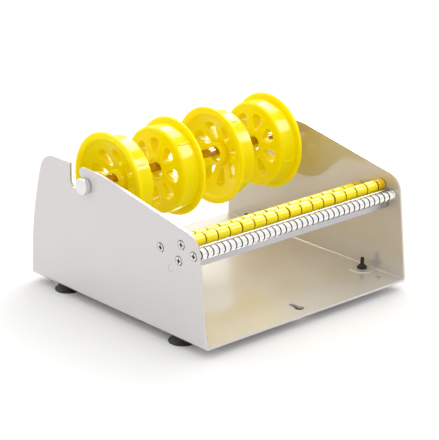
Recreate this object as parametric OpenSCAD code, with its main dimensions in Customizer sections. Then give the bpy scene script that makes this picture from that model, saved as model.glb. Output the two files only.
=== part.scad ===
// Table-top label dispenser: a bent and painted sheet cradle, a lift-out spindle with four core reels,
// two rows of yellow guide spools and a row of bright peel rings, on four suction feet.
// X runs along the spindle, the front is at -Y and Z is up. Sizes are in millimetres.
// Cheek sizes are given as [y, z]: y from the front edge of the base, z from its underside.

/* [Cradle] */
// Width over the two cheeks
frame_w = 235; // [228:1:260]
// Depth of the base
base_d = 226; // [222:1:260]
// Thickness of the sheet
sheet_t = 2; // [1.6:0.1:2.4]
// Inside radius of the two bends
bend_r = 1; // [0.5:0.1:2]
// Height of the cheeks
cheek_h = 115; // [113:0.5:120]
// Rise of the cheek's top edge, in degrees
top_slope = 10.6; // [9.5:0.1:12]
// Where the rising edge meets the level top
crest_y = 132; // [128:1:136]
// Radius that blends the rise into the level top
crest_r = 100; // [40:5:120]
// Backward lean of the front edge, in degrees
front_lean = 7; // [5:0.1:8]
// Radius of the front top corner
front_corner_r = 18; // [12:0.5:20]
// Radius of the rear top corner
rear_corner_r = 18; // [12:0.5:20]
// Radius of the bowed rear edge
rear_bow_r = 330; // [300:5:400]
// Height at which the rear edge stands upright
rear_bow_z = 8; // [4:0.5:12]

/* [Spindle slot] */
// Distance of the spindle from the front edge
spindle_y = 150.6; // [149:0.1:153]
// Depth of the spindle under the cheeks' top
spindle_drop = 14.5; // [13.5:0.1:16]
// Diameter of the end journals that sit in the slots
journal_d = 11.8; // [11:0.1:12.2]
// Clearance around a journal in its slot
slot_gap = 0.3; // [0.25:0.05:0.5]
// Travel from the seat back to the mouth
slot_run = 15.2; // [14:0.1:16]

/* [Spindle] */
// Diameter of the rod
rod_d = 8; // [6:0.5:8.5]
// Diameter of the end heads
head_d = 14.6; // [14:0.1:18]
// Thickness of the end heads
head_t = 5.5; // [4:0.1:7]
// Bevel at the edges of a head
head_bevel = 0.6; // [0.2:0.1:1]
// Diameter of the inner flange of an end piece
inner_flange_d = 16; // [14:0.1:18]
// Thickness of the inner flange of an end piece
inner_flange_t = 2; // [1.5:0.1:3]
// Side play of a cheek between head and inner flange
end_play = 0.4; // [0.3:0.05:0.8]
// Depth of metal left behind the rod in a head
head_floor = 2.4; // [1.5:0.1:3]
// Radial clearance of turning fits
run_gap = 0.08; // [0.05:0.01:0.1]

/* [Reels] */
// Diameter of the flange
flange_d = 87; // [85:1:95]
// Thickness of the flange
flange_t = 2.6; // [2:0.1:3.5]
// Bevel at the flange's rim
flange_bevel = 0.7; // [0.3:0.1:0.9]
// Diameter of the drum that carries a label core
drum_d = 76; // [74:0.5:77]
// Width of a reel over flange and drum
reel_w = 20; // [18:0.5:22]
// Bevel at the free end of the drum
drum_bevel = 1.4; // [0.5:0.1:2]
// Depth of the dish on the flange side, at the drum's wall
hollow_depth = 2.5; // [1.5:0.1:3.5]
// Depth of the dish at the hub
dish_depth = 13.9; // [12:0.1:15]
// Depth of the hub's end in that dish
hub_depth = 7.6; // [6.5:0.1:9]
// Depth of the hub's face behind the drum's free end
hub_sink = 2.4; // [1.5:0.1:3]
// Radius of the dish at the flange's outer face
hollow_r_out = 37.4; // [37:0.1:37.8]
// Radius at which the dish starts to fall towards the hub
hollow_r_in = 36; // [35.4:0.1:36.4]
// Number of windows between the spokes
windows = 8; // [6:1:8]
// Outer radius of the windows
window_r = 29; // [28:0.1:31]
// Thickness of a spoke
spoke_t = 7.2; // [6:0.1:8.6]
// Radius of a window's outer corners
window_corner_r = 4.4; // [3:0.1:4.6]
// Radius of a window's inner end
window_tip_r = 2.7; // [1.4:0.1:3]
// Diameter of the hub
hub_d = 20; // [19.6:0.1:20.4]
// Number of ribs on the drum
drum_ribs = 4; // [2:1:8]
// Width of a drum rib
rib_w = 2.4; // [1.5:0.1:3]
// Height of a drum rib
rib_h = 0.7; // [0.4:0.1:1]
// Length of drum left bare past a rib
rib_stop = 3.4; // [2:0.1:5]
// Outside diameter of the bush between rod and reel
bush_d = 16; // [15.8:0.1:16.4]
// Bore of the bush, which hangs loose on the rod
bush_bore_d = 13.7; // [10:0.1:14]
// Diameter of the two lips of a bush
bush_lip_d = 18; // [17.4:0.1:18.4]
// Thickness of a bush lip
bush_lip_t = 0.7; // [0.5:0.1:1]
// Gap between a hub and the lips of its bush, and around a lip
lip_gap = 0.3; // [0.2:0.05:0.4]
// Gap between the left cheek and the first reel's flange
reel_1_gap = 20.7; // [18:0.1:23]
// Distance of the second reel's flange from the middle, drum towards the first reel
reel_2_off = 21.7; // [20:0.1:24]
// Distance of the third reel's flange from the middle
reel_3_off = 21; // [18:0.1:23]
// Gap between the right cheek and the fourth reel's flange, drum towards the third reel
reel_4_gap = 22.5; // [20:0.1:25]
// Turn of the first reel, in degrees
turn_1 = 55; // [0:0.5:90]
// Turn of the second reel, in degrees
turn_2 = 42.5; // [0:0.5:90]
// Turn of the third reel, in degrees
turn_3 = 28.5; // [0:0.5:90]
// Turn of the fourth reel, in degrees
turn_4 = 13; // [0:0.5:90]

/* [Guide spools] */
// Diameter of the three cross axles
axle_d = 7; // [6.6:0.1:7.4]
// Distance of the front spool row from the front edge
front_y = 31.1; // [30.6:0.1:31.6]
// Height of the front spool row
front_z = 81.8; // [81.4:0.1:82.6]
// Distance of the rear spool row from the front edge
rear_y = 56.2; // [56:0.1:58]
// Height of the rear spool row
rear_z = 72.6; // [72:0.1:74]
// Diameter of the spools
spool_d = 10.5; // [10:0.1:11]
// Number of whole spools in a row
spools = 4; // [4:1:4]
// Number of bands on a spool
spool_bands = 4; // [2:1:6]
// Gap between neighbouring spools
spool_gap = 0.4; // [0.3:0.05:0.8]
// Width of the grooves between bands
groove_w = 1.2; // [0.6:0.1:1.4]
// Depth of the grooves between bands
groove_depth = 0.9; // [0.3:0.05:0.9]
// Bevel at the ends of a spool
spool_bevel = 0.9; // [0.4:0.1:1.2]
// Length of the short spool that fills the right end of a row
end_spool_w = 8.8; // [6:0.1:8.8]
// Bare length of axle left of a row
row_bare = 7.5; // [5:0.1:9]
// Gap between a row and the right cheek
row_gap = 0.3; // [0.25:0.05:1]

/* [Peel rings] */
// Distance of the peel row from the front edge
peel_y = 16.4; // [15.8:0.1:16.6]
// Height of the peel row
peel_z = 76.2; // [75.6:0.1:76.8]
// Diameter of the rings
ring_d = 9; // [8.6:0.1:9.4]
// Gap between neighbouring rings
ring_gap = 0.35; // [0.2:0.05:0.5]
// Number of rings
rings = 36; // [30:1:36]
// Bevel at the edges of a ring
ring_bevel = 0.5; // [0.2:0.05:0.5]
// Length of the spacer sleeves beside the rings
spacer_l = 3.5; // [2:0.1:5]
// Gap between the spacer sleeves and the cheeks, and between them and the rings
spacer_gap = 0.3; // [0.2:0.05:0.5]

/* [Guide rail] */
// Thickness of the rail's sheet
rail_t = 1.5; // [1:0.1:1.6]
// Front face of the rail from the front edge
rail_y = 21.8; // [21.7:0.1:22.4]
// Height of the rail's lower edge
rail_z0 = 63.3; // [62:0.1:65]
// Height of the rail's upper edge
rail_z1 = 79.8; // [78:0.1:81]
// Outside radius of the rail's bends
rail_bend_r = 2.5; // [2:0.1:3]
// Distance of a slit in the lower edge from the rail's end
slit_in = 8.5; // [4:0.1:12]
// Width of the slits
slit_w = 1; // [0.6:0.1:1.4]
// Height of the slits
slit_h = 5; // [3:0.1:7]
// Distance of the rail screw from the front edge
rail_screw_y = 33.9; // [33:0.1:35]
// Height of the rail screw
rail_screw_z = 67.5; // [67:0.1:68]
// Distance of the locating pin from the front edge
pin_y = 43.4; // [43:0.1:44]
// Height of the locating pin
pin_z = 58.5; // [58:0.1:59]
// Diameter of the locating pin
pin_d = 6; // [5:0.1:6.5]
// Width of sheet left around the pin's boss in an ear
ear_rim = 1; // [0.5:0.1:1]

/* [Fasteners] */
// Thread diameter of the countersunk screws
screw_d = 5; // [4:0.1:5]
// Length of the axle screws
axle_screw_l = 14; // [10:1:18]
// Width of the rail nuts over flats
nut_af = 8; // [8:0.1:8.4]
// Thickness of the rail nuts
nut_t = 4; // [3:0.1:4.5]
// Radial clearance of parts that are screwed or pressed together
fit_gap = 0.05; // [0.03:0.01:0.1]
// Length of the cross recess
recess_l = 4.6; // [3:0.1:5]
// Width of the cross recess
recess_w = 1.1; // [0.8:0.1:1.4]
// Depth of the cross recess
recess_h = 1.2; // [0.8:0.1:1.4]

/* [Base openings] */
// Distance of the screw holes from the cheeks' outer faces
hole_side = 15.5; // [12:0.1:20]
// Distance of the front screw holes from the front edge
hole_front = 18.6; // [16:0.1:22]
// Distance of the rear screw holes from the rear edge
hole_rear = 19.4; // [16:0.1:22]
// Diameter of the screw holes
hole_d = 5; // [4:0.1:6]
// Distance of the keyhole's wide end from the front edge
keyhole_y = 13; // [11:0.1:15]
// Diameter of the keyhole's wide end
keyhole_d = 8.4; // [7:0.1:10]
// Width of the keyhole's neck
keyhole_neck_w = 4.6; // [4:0.1:5.5]
// Length from the wide end's centre to the neck's end centre
keyhole_run = 10; // [8:0.1:14]

/* [Suction feet] */
// Distance of the feet from the cheeks' outer faces
foot_side = 11.5; // [11.5:0.1:16]
// Distance of the front feet from the front edge
foot_front = 41.5; // [38:0.5:46]
// Distance of the rear feet from the rear edge
foot_rear = 35; // [30:0.5:40]
// Height of the base's underside over the floor
foot_h = 7.5; // [7:0.1:10]
// Diameter of the cup's lip
cup_d = 23; // [22:0.5:26]
// Diameter of the cup's shoulder under the base
cup_top_d = 15; // [13:0.5:16]
// Thickness of the cup's lip
cup_lip_t = 1; // [0.8:0.1:1.4]
// Depth of the cup's hollow
cup_hollow = 3.2; // [2:0.1:3.6]
// Diameter of the foot's neck in the base
neck_d = 6.4; // [5:0.1:7]
// Diameter of the head over the base
foot_head_d = 8.8; // [8.4:0.1:11]
// Height of the straight part of that head
foot_head_t = 1.7; // [1.5:0.1:3]
// Height of the head's cone
foot_cone_t = 2.2; // [1.5:0.1:3]
// Diameter of the pull tail
tail_d = 3.5; // [3:0.1:5]
// Length of the pull tail over the cone
tail_l = 4.6; // [4:0.1:8]
// Diameter of the raised seat around a foot
seat_d = 23; // [21:0.5:24]
// Height of the raised seat
seat_h = 0.8; // [0.4:0.1:1]

/* [Hidden] */
$fn = 72;

// Reach of a cutting body past the face that it cuts
past = 1;
// Half widths over and between the cheeks
outer_x = frame_w / 2;
inner_x = outer_x - sheet_t;
// Height of the spindle, the slot's half width and the level of the tongue over the slot's leg
spindle_z = cheek_h - spindle_drop;
slot_r = journal_d / 2 + slot_gap;
mouth_y = spindle_y + slot_run;
tongue_r = (cheek_h - spindle_z - slot_r) / 2;
tongue_y = mouth_y - slot_r - tongue_r;
// Axes of the rows and of the fasteners, as [y, z]
spindle_at = [spindle_y, spindle_z];
front_at = [front_y, front_z];
rear_at = [rear_y, rear_z];
peel_at = [peel_y, peel_z];
rail_screw_at = [rail_screw_y, rail_screw_z];
pin_at = [pin_y, pin_z];
screw_axes = [front_at, rear_at, peel_at, rail_screw_at];
// The countersunk head just fills the sheet
screw_head_d = screw_d + 2 * sheet_t;
rail_screw_l = sheet_t + fit_gap + rail_t + nut_t;
axle_l = 2 * (inner_x - fit_gap);
// Bores of turning fits
axle_bore_r = axle_d / 2 + run_gap;
rod_bore_r = rod_d / 2 + run_gap;
hub_bore_r = bush_d / 2 + run_gap;
// The bushes hang on top of the rod, so the reels turn a little below it
reel_z = spindle_z - (bush_bore_d - rod_d) / 2 + run_gap;
// Reel stations: outer face of the flange, direction of the drum and turn
reel_faces = [reel_1_gap - inner_x, -reel_2_off, reel_3_off, inner_x - reel_4_gap];
reel_signs = [1, -1, 1, -1];
reel_turns = [turn_1, turn_2, turn_3, turn_4];
hub_end = reel_w - hub_sink;
// Half angle between two spokes, and the centres of a window's rounded ends
half_pitch = 180 / windows;
window_corner_at = window_r - window_corner_r;
corner_angle = half_pitch - asin((spoke_t / 2 + window_corner_r) / window_corner_at);
window_tip_at = (spoke_t / 2 + window_tip_r) / sin(half_pitch);
// The sides of a window cut its rounded ends this far inside their tangents, at clear edges
side_in = 0.1;
rail_x = inner_x - fit_gap;
// Start of the spool rows, and the lengths that fill the rows between the cheeks
row_x = row_bare - inner_x;
spool_pitch = (2 * inner_x - row_bare - end_spool_w - row_gap) / spools;
ring_row = 2 * (inner_x - 2 * spacer_gap - spacer_l);
ring_pitch = (ring_row + ring_gap) / rings;
// Places of the feet and of the screw holes in the base
foot_x = outer_x - foot_side;
foot_rear_y = base_d - foot_rear;
foot_ys = [foot_front, foot_rear_y];
hole_x = outer_x - hole_side;
hole_ys = [hole_front, base_d - hole_rear];

sheet_paint = "gainsboro";
reel_yellow = "gold";
spool_yellow = "khaki";
bright_steel = "silver";
rail_grey = "lightgray";
rubber = "dimgray";

// Carries cheek coordinates into the part's frame, whose origin is on the floor under the middle
module place() {
    translate([0, -base_d / 2, foot_h]) children();
}

// Extrudes a [y, z] outline along X, from x0 to x1
module along_x(x0, x1) {
    translate([x0, 0, 0]) rotate([90, 0, 90]) linear_extrude(x1 - x0) children();
}

// Turns a [radius, x] profile about the axis at [y, z]
module turned(at) {
    translate([0, at[0], at[1]]) rotate([0, 90, 0]) rotate_extrude() children();
}

// Repeats a right-hand piece on the left
module both_sides() {
    children();
    mirror([1, 0, 0]) children();
}

// Unit vector from a to b
function toward(a, b) = (b - a) / norm(b - a);

// Centre and tangent points of an arc of radius r in corner p between a and b
function half_angle(p, a, b) = acos(toward(p, a) * toward(p, b)) / 2;
function arc_centre(p, a, b, r) =
    let (mid = toward(p, a) + toward(p, b))
    p + mid / norm(mid) * r / sin(half_angle(p, a, b));
function arc_start(p, a, b, r) = p + toward(p, a) * r / tan(half_angle(p, a, b));

// Convex polygon whose corners are rounded by true arcs
module rounded(points, radii) {
    n = len(points);
    before = [for (i = [0 : n - 1]) points[(i + n - 1) % n]];
    after = [for (i = [0 : n - 1]) points[(i + 1) % n]];
    starts = [for (i = [0 : n - 1]) arc_start(points[i], before[i], after[i], radii[i])];
    ends = [for (i = [0 : n - 1]) arc_start(points[i], after[i], before[i], radii[i])];
    polygon([for (i = [0 : n - 1]) each radii[i] > 0 ? [starts[i], ends[i]] : [points[i]]]);
    for (i = [0 : n - 1]) {
        if (radii[i] > 0) {
            centre = arc_centre(points[i], before[i], after[i], radii[i]);
            intersection() {
                translate(centre) circle(r = radii[i]);
                polygon([centre, starts[i], points[i], ends[i]]);
            }
        }
    }
}

// Cheek outline before the slot: leaning front, rising top, level crest and bowed rear edge
module cheek_blank() {
    rise = tan(top_slope);
    lean = tan(front_lean);
    front_top_z = (cheek_h - crest_y * rise) / (1 - lean * rise);
    front_top = [front_top_z * lean, front_top_z];
    bow_centre = [base_d - rear_bow_r, rear_bow_z];
    corner_z = cheek_h - rear_corner_r;
    corner_reach = rear_bow_r - rear_corner_r;
    corner = [bow_centre[0] + sqrt(pow(corner_reach, 2) - pow(corner_z - rear_bow_z, 2)), corner_z];
    corner_end = bow_centre + toward(bow_centre, corner) * rear_bow_r;
    far_y = base_d + past;
    difference() {
        intersection() {
            rounded(
                [[0, 0], front_top, [crest_y, cheek_h], [far_y, cheek_h], [far_y, 0]],
                [0, front_corner_r, crest_r, 0, 0]
            );
            translate(bow_centre) circle(r = rear_bow_r, $fn = 360);
        }
        polygon([
            [corner[0], cheek_h], [corner[0], cheek_h + past], [far_y + past, cheek_h + past],
            [far_y + past, corner_end[1]], corner_end
        ]);
    }
    translate(corner) circle(r = rear_corner_r);
}

// Slot for a journal: in from the top behind a round-ended tongue, then forward to the seat
module slot_outline() {
    for (y = [spindle_y, mouth_y]) {
        translate([y, spindle_z]) circle(r = slot_r);
    }
    translate([spindle_y, spindle_z - slot_r]) square([slot_run, 2 * slot_r]);
    difference() {
        translate([tongue_y, spindle_z])
            square([mouth_y + slot_r - tongue_y, cheek_h + past - spindle_z]);
        translate([tongue_y, cheek_h - tongue_r]) circle(r = tongue_r);
    }
}

// U section of the bent sheet, as [x, z]
module sheet_section() {
    outer_r = bend_r + sheet_t;
    top_z = cheek_h + past;
    difference() {
        rounded(
            [[-outer_x, 0], [outer_x, 0], [outer_x, top_z], [-outer_x, top_z]],
            [outer_r, outer_r, 0, 0]
        );
        rounded(
            [[-inner_x, sheet_t], [inner_x, sheet_t], [inner_x, top_z + past], [-inner_x, top_z + past]],
            [bend_r, bend_r, 0, 0]
        );
    }
}

// Countersunk screw hole or head along X, ending at the cheek's outer face
module countersink(at, gap) {
    turned(at) polygon([
        [0, inner_x], [screw_d / 2 + gap, inner_x], [screw_head_d / 2 + gap, outer_x], [0, outer_x]
    ]);
}

// Cone or disc of the raised foot seat, from z0 up
module seat_disc(z0) {
    for (x = [-1, 1], y = foot_ys) {
        translate([x * foot_x, y, z0])
            cylinder(h = seat_h, d1 = seat_d, d2 = seat_d - 2 * seat_h);
    }
}

module frame() {
    color(sheet_paint) place() difference() {
        union() {
            intersection() {
                translate([0, base_d, 0]) rotate([90, 0, 0]) linear_extrude(base_d) sheet_section();
                along_x(-outer_x, outer_x) difference() {
                    cheek_blank();
                    slot_outline();
                }
            }
            intersection() {
                translate([-inner_x, 0, 0]) cube([2 * inner_x, base_d, cheek_h]);
                seat_disc(sheet_t);
            }
        }
        seat_disc(0);
        both_sides() {
            for (at = screw_axes) countersink(at, fit_gap);
            along_x(inner_x - past, outer_x + past) translate(pin_at) circle(d = pin_d + 2 * fit_gap);
        }
        for (x = [-1, 1]) {
            for (y = foot_ys) {
                translate([x * foot_x, y, -past])
                    cylinder(h = sheet_t + seat_h + 2 * past, d = neck_d + 2 * fit_gap);
            }
            for (y = hole_ys) {
                translate([x * hole_x, y, -past]) cylinder(h = sheet_t + 2 * past, d = hole_d);
            }
        }
        translate([0, keyhole_y, -past]) linear_extrude(sheet_t + 2 * past) {
            circle(d = keyhole_d);
            translate([-keyhole_neck_w / 2, 0]) square([keyhole_neck_w, keyhole_run]);
            translate([0, keyhole_run]) circle(d = keyhole_neck_w);
        }
    }
}

// Side outline of the rail: an upright strip with an ear that runs down and back to the pin
module rail_outline() {
    ear_r = pin_d / 2 + rail_t + ear_rim;
    along = toward(rail_screw_at, pin_at);
    across = ear_r * [along[1], -along[0]];
    translate([rail_y, rail_z0]) square([rail_bend_r, rail_z1 - rail_z0]);
    translate([rail_y, rail_z0]) square([rail_screw_y - rail_y, rail_screw_z + ear_r - rail_z0]);
    polygon([rail_screw_at + across, pin_at + across, pin_at - across, rail_screw_at - across]);
    for (at = [rail_screw_at, pin_at]) translate(at) circle(r = ear_r);
}

module guide_rail() {
    ear_y = pin_y + 3 * pin_d;
    inside = rail_x - rail_t;
    color(rail_grey) place() difference() {
        intersection() {
            linear_extrude(cheek_h) difference() {
                rounded(
                    [[-rail_x, rail_y], [rail_x, rail_y], [rail_x, ear_y], [-rail_x, ear_y]],
                    [rail_bend_r, rail_bend_r, 0, 0]
                );
                rounded(
                    [[-inside, rail_y + rail_t], [inside, rail_y + rail_t],
                     [inside, ear_y + past], [-inside, ear_y + past]],
                    [rail_bend_r - rail_t, rail_bend_r - rail_t, 0, 0]
                );
            }
            along_x(-rail_x, rail_x) rail_outline();
        }
        both_sides() {
            translate([rail_x - slit_in - slit_w, rail_y - past, rail_z0 - past])
                cube([slit_w, rail_t + 2 * past, slit_h + past]);
            along_x(inside - past, rail_x + past) {
                translate(rail_screw_at) circle(d = screw_d + 2 * fit_gap);
                translate(pin_at) circle(d = pin_d + 2 * fit_gap);
            }
        }
    }
}

module rail_nuts() {
    nut_x = rail_x - rail_t;
    color(bright_steel) place() both_sides() along_x(nut_x - nut_t, nut_x) translate(rail_screw_at) {
        difference() {
            circle(d = nut_af / cos(30), $fn = 6);
            circle(d = screw_d + 2 * fit_gap);
        }
    }
}

// Countersunk screw with a cross recess, in the right cheek
module screw(at, length) {
    difference() {
        union() {
            countersink(at, 0);
            along_x(outer_x - length, inner_x) translate(at) circle(d = screw_d);
        }
        along_x(outer_x - recess_h, outer_x + past) translate(at) {
            square([recess_l, recess_w], center = true);
            square([recess_w, recess_l], center = true);
        }
    }
}

module rail_screws() {
    color(bright_steel) place() both_sides() screw(rail_screw_at, rail_screw_l);
}

module axle_screws() {
    color(bright_steel) place() both_sides() {
        for (at = [front_at, rear_at, peel_at]) screw(at, axle_screw_l);
    }
}

module rail_pins() {
    color(sheet_paint) place() both_sides() {
        along_x(rail_x - rail_t, outer_x) translate(pin_at) circle(d = pin_d);
    }
}

// Cross axle between the cheeks, drilled at both ends for its screws
module axle(at) {
    drill = axle_screw_l - sheet_t + past;
    color(bright_steel) place() difference() {
        along_x(-axle_l / 2, axle_l / 2) translate(at) circle(d = axle_d);
        both_sides() along_x(axle_l / 2 - drill, axle_l / 2 + past) {
            translate(at) circle(d = screw_d + 2 * fit_gap);
        }
    }
}

module axle_front() { axle(front_at); }
module axle_rear() { axle(rear_at); }
module axle_peel() { axle(peel_at); }

// Suction foot: a hollow cup under the base, a neck, a barbed head and a pull tail above
module suction_foot(x_side, y) {
    shoulder = seat_h;
    head_z = sheet_t + seat_h;
    cone_z = head_z + foot_head_t;
    tail_z = cone_z + foot_cone_t;
    lip_r = cup_d / 2;
    mouth_r = lip_r - cup_lip_t;
    hollow_r = (pow(mouth_r, 2) + pow(cup_hollow, 2)) / (2 * cup_hollow);
    color(rubber) place() translate([x_side * foot_x, y, 0]) rotate_extrude() {
        difference() {
            polygon([
                [0, -foot_h], [lip_r, -foot_h], [lip_r, cup_lip_t - foot_h],
                [cup_top_d / 2, -fit_gap], [cup_top_d / 2, shoulder - fit_gap], [neck_d / 2, shoulder - fit_gap],
                [neck_d / 2, head_z + fit_gap], [foot_head_d / 2, head_z + fit_gap],
                [foot_head_d / 2, cone_z], [tail_d / 2, tail_z],
                [tail_d / 2, tail_z + tail_l], [0, tail_z + tail_l]
            ]);
            translate([0, cup_hollow - foot_h - hollow_r]) circle(r = hollow_r);
        }
        intersection() {
            translate([0, tail_z + tail_l]) circle(d = tail_d);
            translate([0, tail_z + tail_l]) square(tail_d);
        }
    }
}

module suction_foot_front_left() { suction_foot(-1, foot_front); }
module suction_foot_front_right() { suction_foot(1, foot_front); }
module suction_foot_rear_left() { suction_foot(-1, foot_rear_y); }
module suction_foot_rear_right() { suction_foot(1, foot_rear_y); }

// Right end piece of the spindle: head outside the cheek, journal in the slot, flange inside
module spindle_end() {
    flange_r = inner_flange_d / 2;
    flange_x = inner_x - end_play;
    head_r = head_d / 2;
    head_x = outer_x + end_play;
    head_end = head_x + head_t;
    bore_end = head_end - head_floor;
    color(bright_steel) place() turned(spindle_at) polygon([
        [rod_bore_r, flange_x - inner_flange_t], [flange_r, flange_x - inner_flange_t],
        [flange_r, flange_x], [journal_d / 2, flange_x],
        [journal_d / 2, head_x], [head_r - head_bevel, head_x],
        [head_r, head_x + head_bevel], [head_r, head_end - head_bevel],
        [head_r - head_bevel, head_end], [0, head_end],
        [0, bore_end], [rod_bore_r, bore_end]
    ]);
}

module spindle_end_left() { mirror([1, 0, 0]) spindle_end(); }
module spindle_end_right() { spindle_end(); }

module spindle_rod() {
    reach = outer_x + end_play + head_t - head_floor - end_play / 2;
    color(bright_steel) place() along_x(-reach, reach) translate(spindle_at) circle(d = rod_d);
}

// Puts a reel piece on the spindle: its own Z runs from the flange's outer face to the drum's free end
module on_spindle(i) {
    place() translate([reel_faces[i], spindle_y, reel_z])
        mirror([reel_signs[i] < 0 ? 1 : 0, 0, 0]) rotate([reel_turns[i], 0, 0]) rotate([0, 90, 0]) children();
}

// Plain bush that hangs on the rod and carries a reel between two lips
module reel_bush(i) {
    z0 = hub_depth - lip_gap;
    z1 = hub_end + lip_gap;
    bore_r = bush_bore_d / 2;
    color(reel_yellow) on_spindle(i) rotate_extrude() polygon([
        [bore_r, z0 - bush_lip_t], [bush_lip_d / 2, z0 - bush_lip_t], [bush_lip_d / 2, z0],
        [bush_d / 2, z0], [bush_d / 2, z1], [bush_lip_d / 2, z1],
        [bush_lip_d / 2, z1 + bush_lip_t], [bore_r, z1 + bush_lip_t]
    ]);
}

module reel_bush_1() { reel_bush(0); }
module reel_bush_2() { reel_bush(1); }
module reel_bush_3() { reel_bush(2); }
module reel_bush_4() { reel_bush(3); }

// Window between two spokes: a rounded triangle with its tip towards the hub
module window_outline() {
    outer = [for (s = [-1, 1]) window_corner_at * [cos(corner_angle), s * sin(corner_angle)]];
    tip = [window_tip_at, 0];
    side = [-sin(half_pitch), cos(half_pitch)];
    mirrored = [side[0], -side[1]];
    corner_in = window_corner_r - side_in;
    tip_in = window_tip_r - side_in;
    polygon([
        tip + tip_in * side, outer[1] + corner_in * side,
        outer[1] + [corner_in, 0], outer[0] + [corner_in, 0],
        outer[0] + corner_in * mirrored, tip + tip_in * mirrored
    ]);
    for (c = outer) translate(c) circle(r = window_corner_r);
    translate(tip) circle(r = window_tip_r);
}

// Rib on the drum, from the flange to a round end
module drum_rib() {
    rib_end = reel_w - rib_stop - rib_w / 2;
    translate([drum_d / 2 - rib_w, 0, 0]) rotate([90, 0, 90]) linear_extrude(rib_w + rib_h) {
        translate([-rib_w / 2, flange_t / 2]) square([rib_w, rib_end - flange_t / 2]);
        translate([0, rib_end]) circle(d = rib_w);
    }
}

// Core reel: a drum with a flange at one end and a dished wall of spokes around the hub
module reel(i) {
    flange_r = flange_d / 2;
    sink_r = bush_lip_d / 2 + lip_gap;
    color(reel_yellow) on_spindle(i) {
        difference() {
            rotate_extrude() polygon([
                [hub_bore_r, hub_depth], [hub_d / 2, hub_depth], [hub_d / 2, dish_depth],
                [hollow_r_in, hollow_depth], [hollow_r_out, 0],
                [flange_r - flange_bevel, 0], [flange_r, flange_bevel],
                [flange_r, flange_t - flange_bevel], [flange_r - flange_bevel, flange_t],
                [drum_d / 2, flange_t], [drum_d / 2, reel_w - drum_bevel],
                [drum_d / 2 - drum_bevel, reel_w], [sink_r, reel_w],
                [sink_r, hub_end], [hub_bore_r, hub_end]
            ]);
            for (k = [0 : windows - 1]) {
                rotate([0, 0, k * 360 / windows]) translate([0, 0, hollow_depth - past])
                    linear_extrude(reel_w - hollow_depth + 2 * past) window_outline();
            }
        }
        for (k = [0 : drum_ribs - 1]) rotate([0, 0, k * 360 / drum_ribs]) drum_rib();
    }
}

module reel_1() { reel(0); }
module reel_2() { reel(1); }
module reel_3() { reel(2); }
module reel_4() { reel(3); }

// Spool with evenly spaced grooves, from x0, turning on the axle at [y, z]
module spool(at, x0, length, bands) {
    r = spool_d / 2;
    band = length / bands;
    groove_x = [for (k = [1 : 1 : bands - 1]) x0 + k * band];
    color(spool_yellow) place() turned(at) polygon(concat(
        [[axle_bore_r, x0], [r - spool_bevel, x0], [r, x0 + spool_bevel]],
        [for (x = groove_x) each [
            [r, x - groove_w / 2], [r - groove_depth, x - groove_w / 4],
            [r - groove_depth, x + groove_w / 4], [r, x + groove_w / 2]
        ]],
        [[r, x0 + length - spool_bevel], [r - spool_bevel, x0 + length], [axle_bore_r, x0 + length]]
    ));
}

// Whole spool k of the row at [y, z], counted from 0 at the left
module whole_spool(at, k) {
    spool(at, row_x + k * spool_pitch, spool_pitch - spool_gap, spool_bands);
}

// Short spool that fills the right end of the row at [y, z]
module end_spool(at) {
    spool(at, row_x + spools * spool_pitch, end_spool_w, 1);
}

module front_spool_1() { whole_spool(front_at, 0); }
module front_spool_2() { whole_spool(front_at, 1); }
module front_spool_3() { whole_spool(front_at, 2); }
module front_spool_4() { whole_spool(front_at, 3); }
module front_end_spool() { end_spool(front_at); }
module rear_spool_1() { whole_spool(rear_at, 0); }
module rear_spool_2() { whole_spool(rear_at, 1); }
module rear_spool_3() { whole_spool(rear_at, 2); }
module rear_spool_4() { whole_spool(rear_at, 3); }
module rear_end_spool() { end_spool(rear_at); }

// Row of separate rings on the peel axle
module peel_rings() {
    r = ring_d / 2;
    half = (ring_pitch - ring_gap) / 2;
    color(bright_steel) place() turned(peel_at) {
        for (k = [0 : rings - 1]) {
            translate([0, (k - (rings - 1) / 2) * ring_pitch]) polygon([
                [axle_bore_r, -half], [r - ring_bevel, -half], [r, ring_bevel - half],
                [r, half - ring_bevel], [r - ring_bevel, half], [axle_bore_r, half]
            ]);
        }
    }
}

// Spacer sleeves that centre the ring row between the cheeks
module peel_spacers() {
    x0 = ring_row / 2 + spacer_gap;
    color(bright_steel) place() both_sides() turned(peel_at) polygon([
        [axle_d / 2 + fit_gap, x0], [ring_d / 2 - ring_bevel, x0],
        [ring_d / 2 - ring_bevel, inner_x - spacer_gap], [axle_d / 2 + fit_gap, inner_x - spacer_gap]
    ]);
}

frame();
guide_rail();
rail_nuts();
rail_screws();
rail_pins();
axle_front();
axle_rear();
axle_peel();
axle_screws();
suction_foot_front_left();
suction_foot_front_right();
suction_foot_rear_left();
suction_foot_rear_right();
spindle_end_left();
spindle_end_right();
spindle_rod();
reel_bush_1();
reel_bush_2();
reel_bush_3();
reel_bush_4();
reel_1();
reel_2();
reel_3();
reel_4();
front_spool_1();
front_spool_2();
front_spool_3();
front_spool_4();
front_end_spool();
rear_spool_1();
rear_spool_2();
rear_spool_3();
rear_spool_4();
rear_end_spool();
peel_rings();
peel_spacers();
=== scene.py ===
"""Looks of a table-top label dispenser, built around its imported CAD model.

The sheet cradle, the rail and the fasteners keep their CAD shapes and get new finishes. The turned
and moulded pieces are rebuilt as numpy surfaces with rounded edges, and replace their CAD nodes.
Sizes are in millimetres here and become metres where a mesh is made.
"""
import logging
import math
from abc import ABC, abstractmethod
from dataclasses import dataclass, replace
from enum import Enum
from typing import ClassVar, Sequence

import bmesh
import bpy
import numpy as np
from mathutils import Matrix, Vector
from numpy.typing import NDArray


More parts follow.
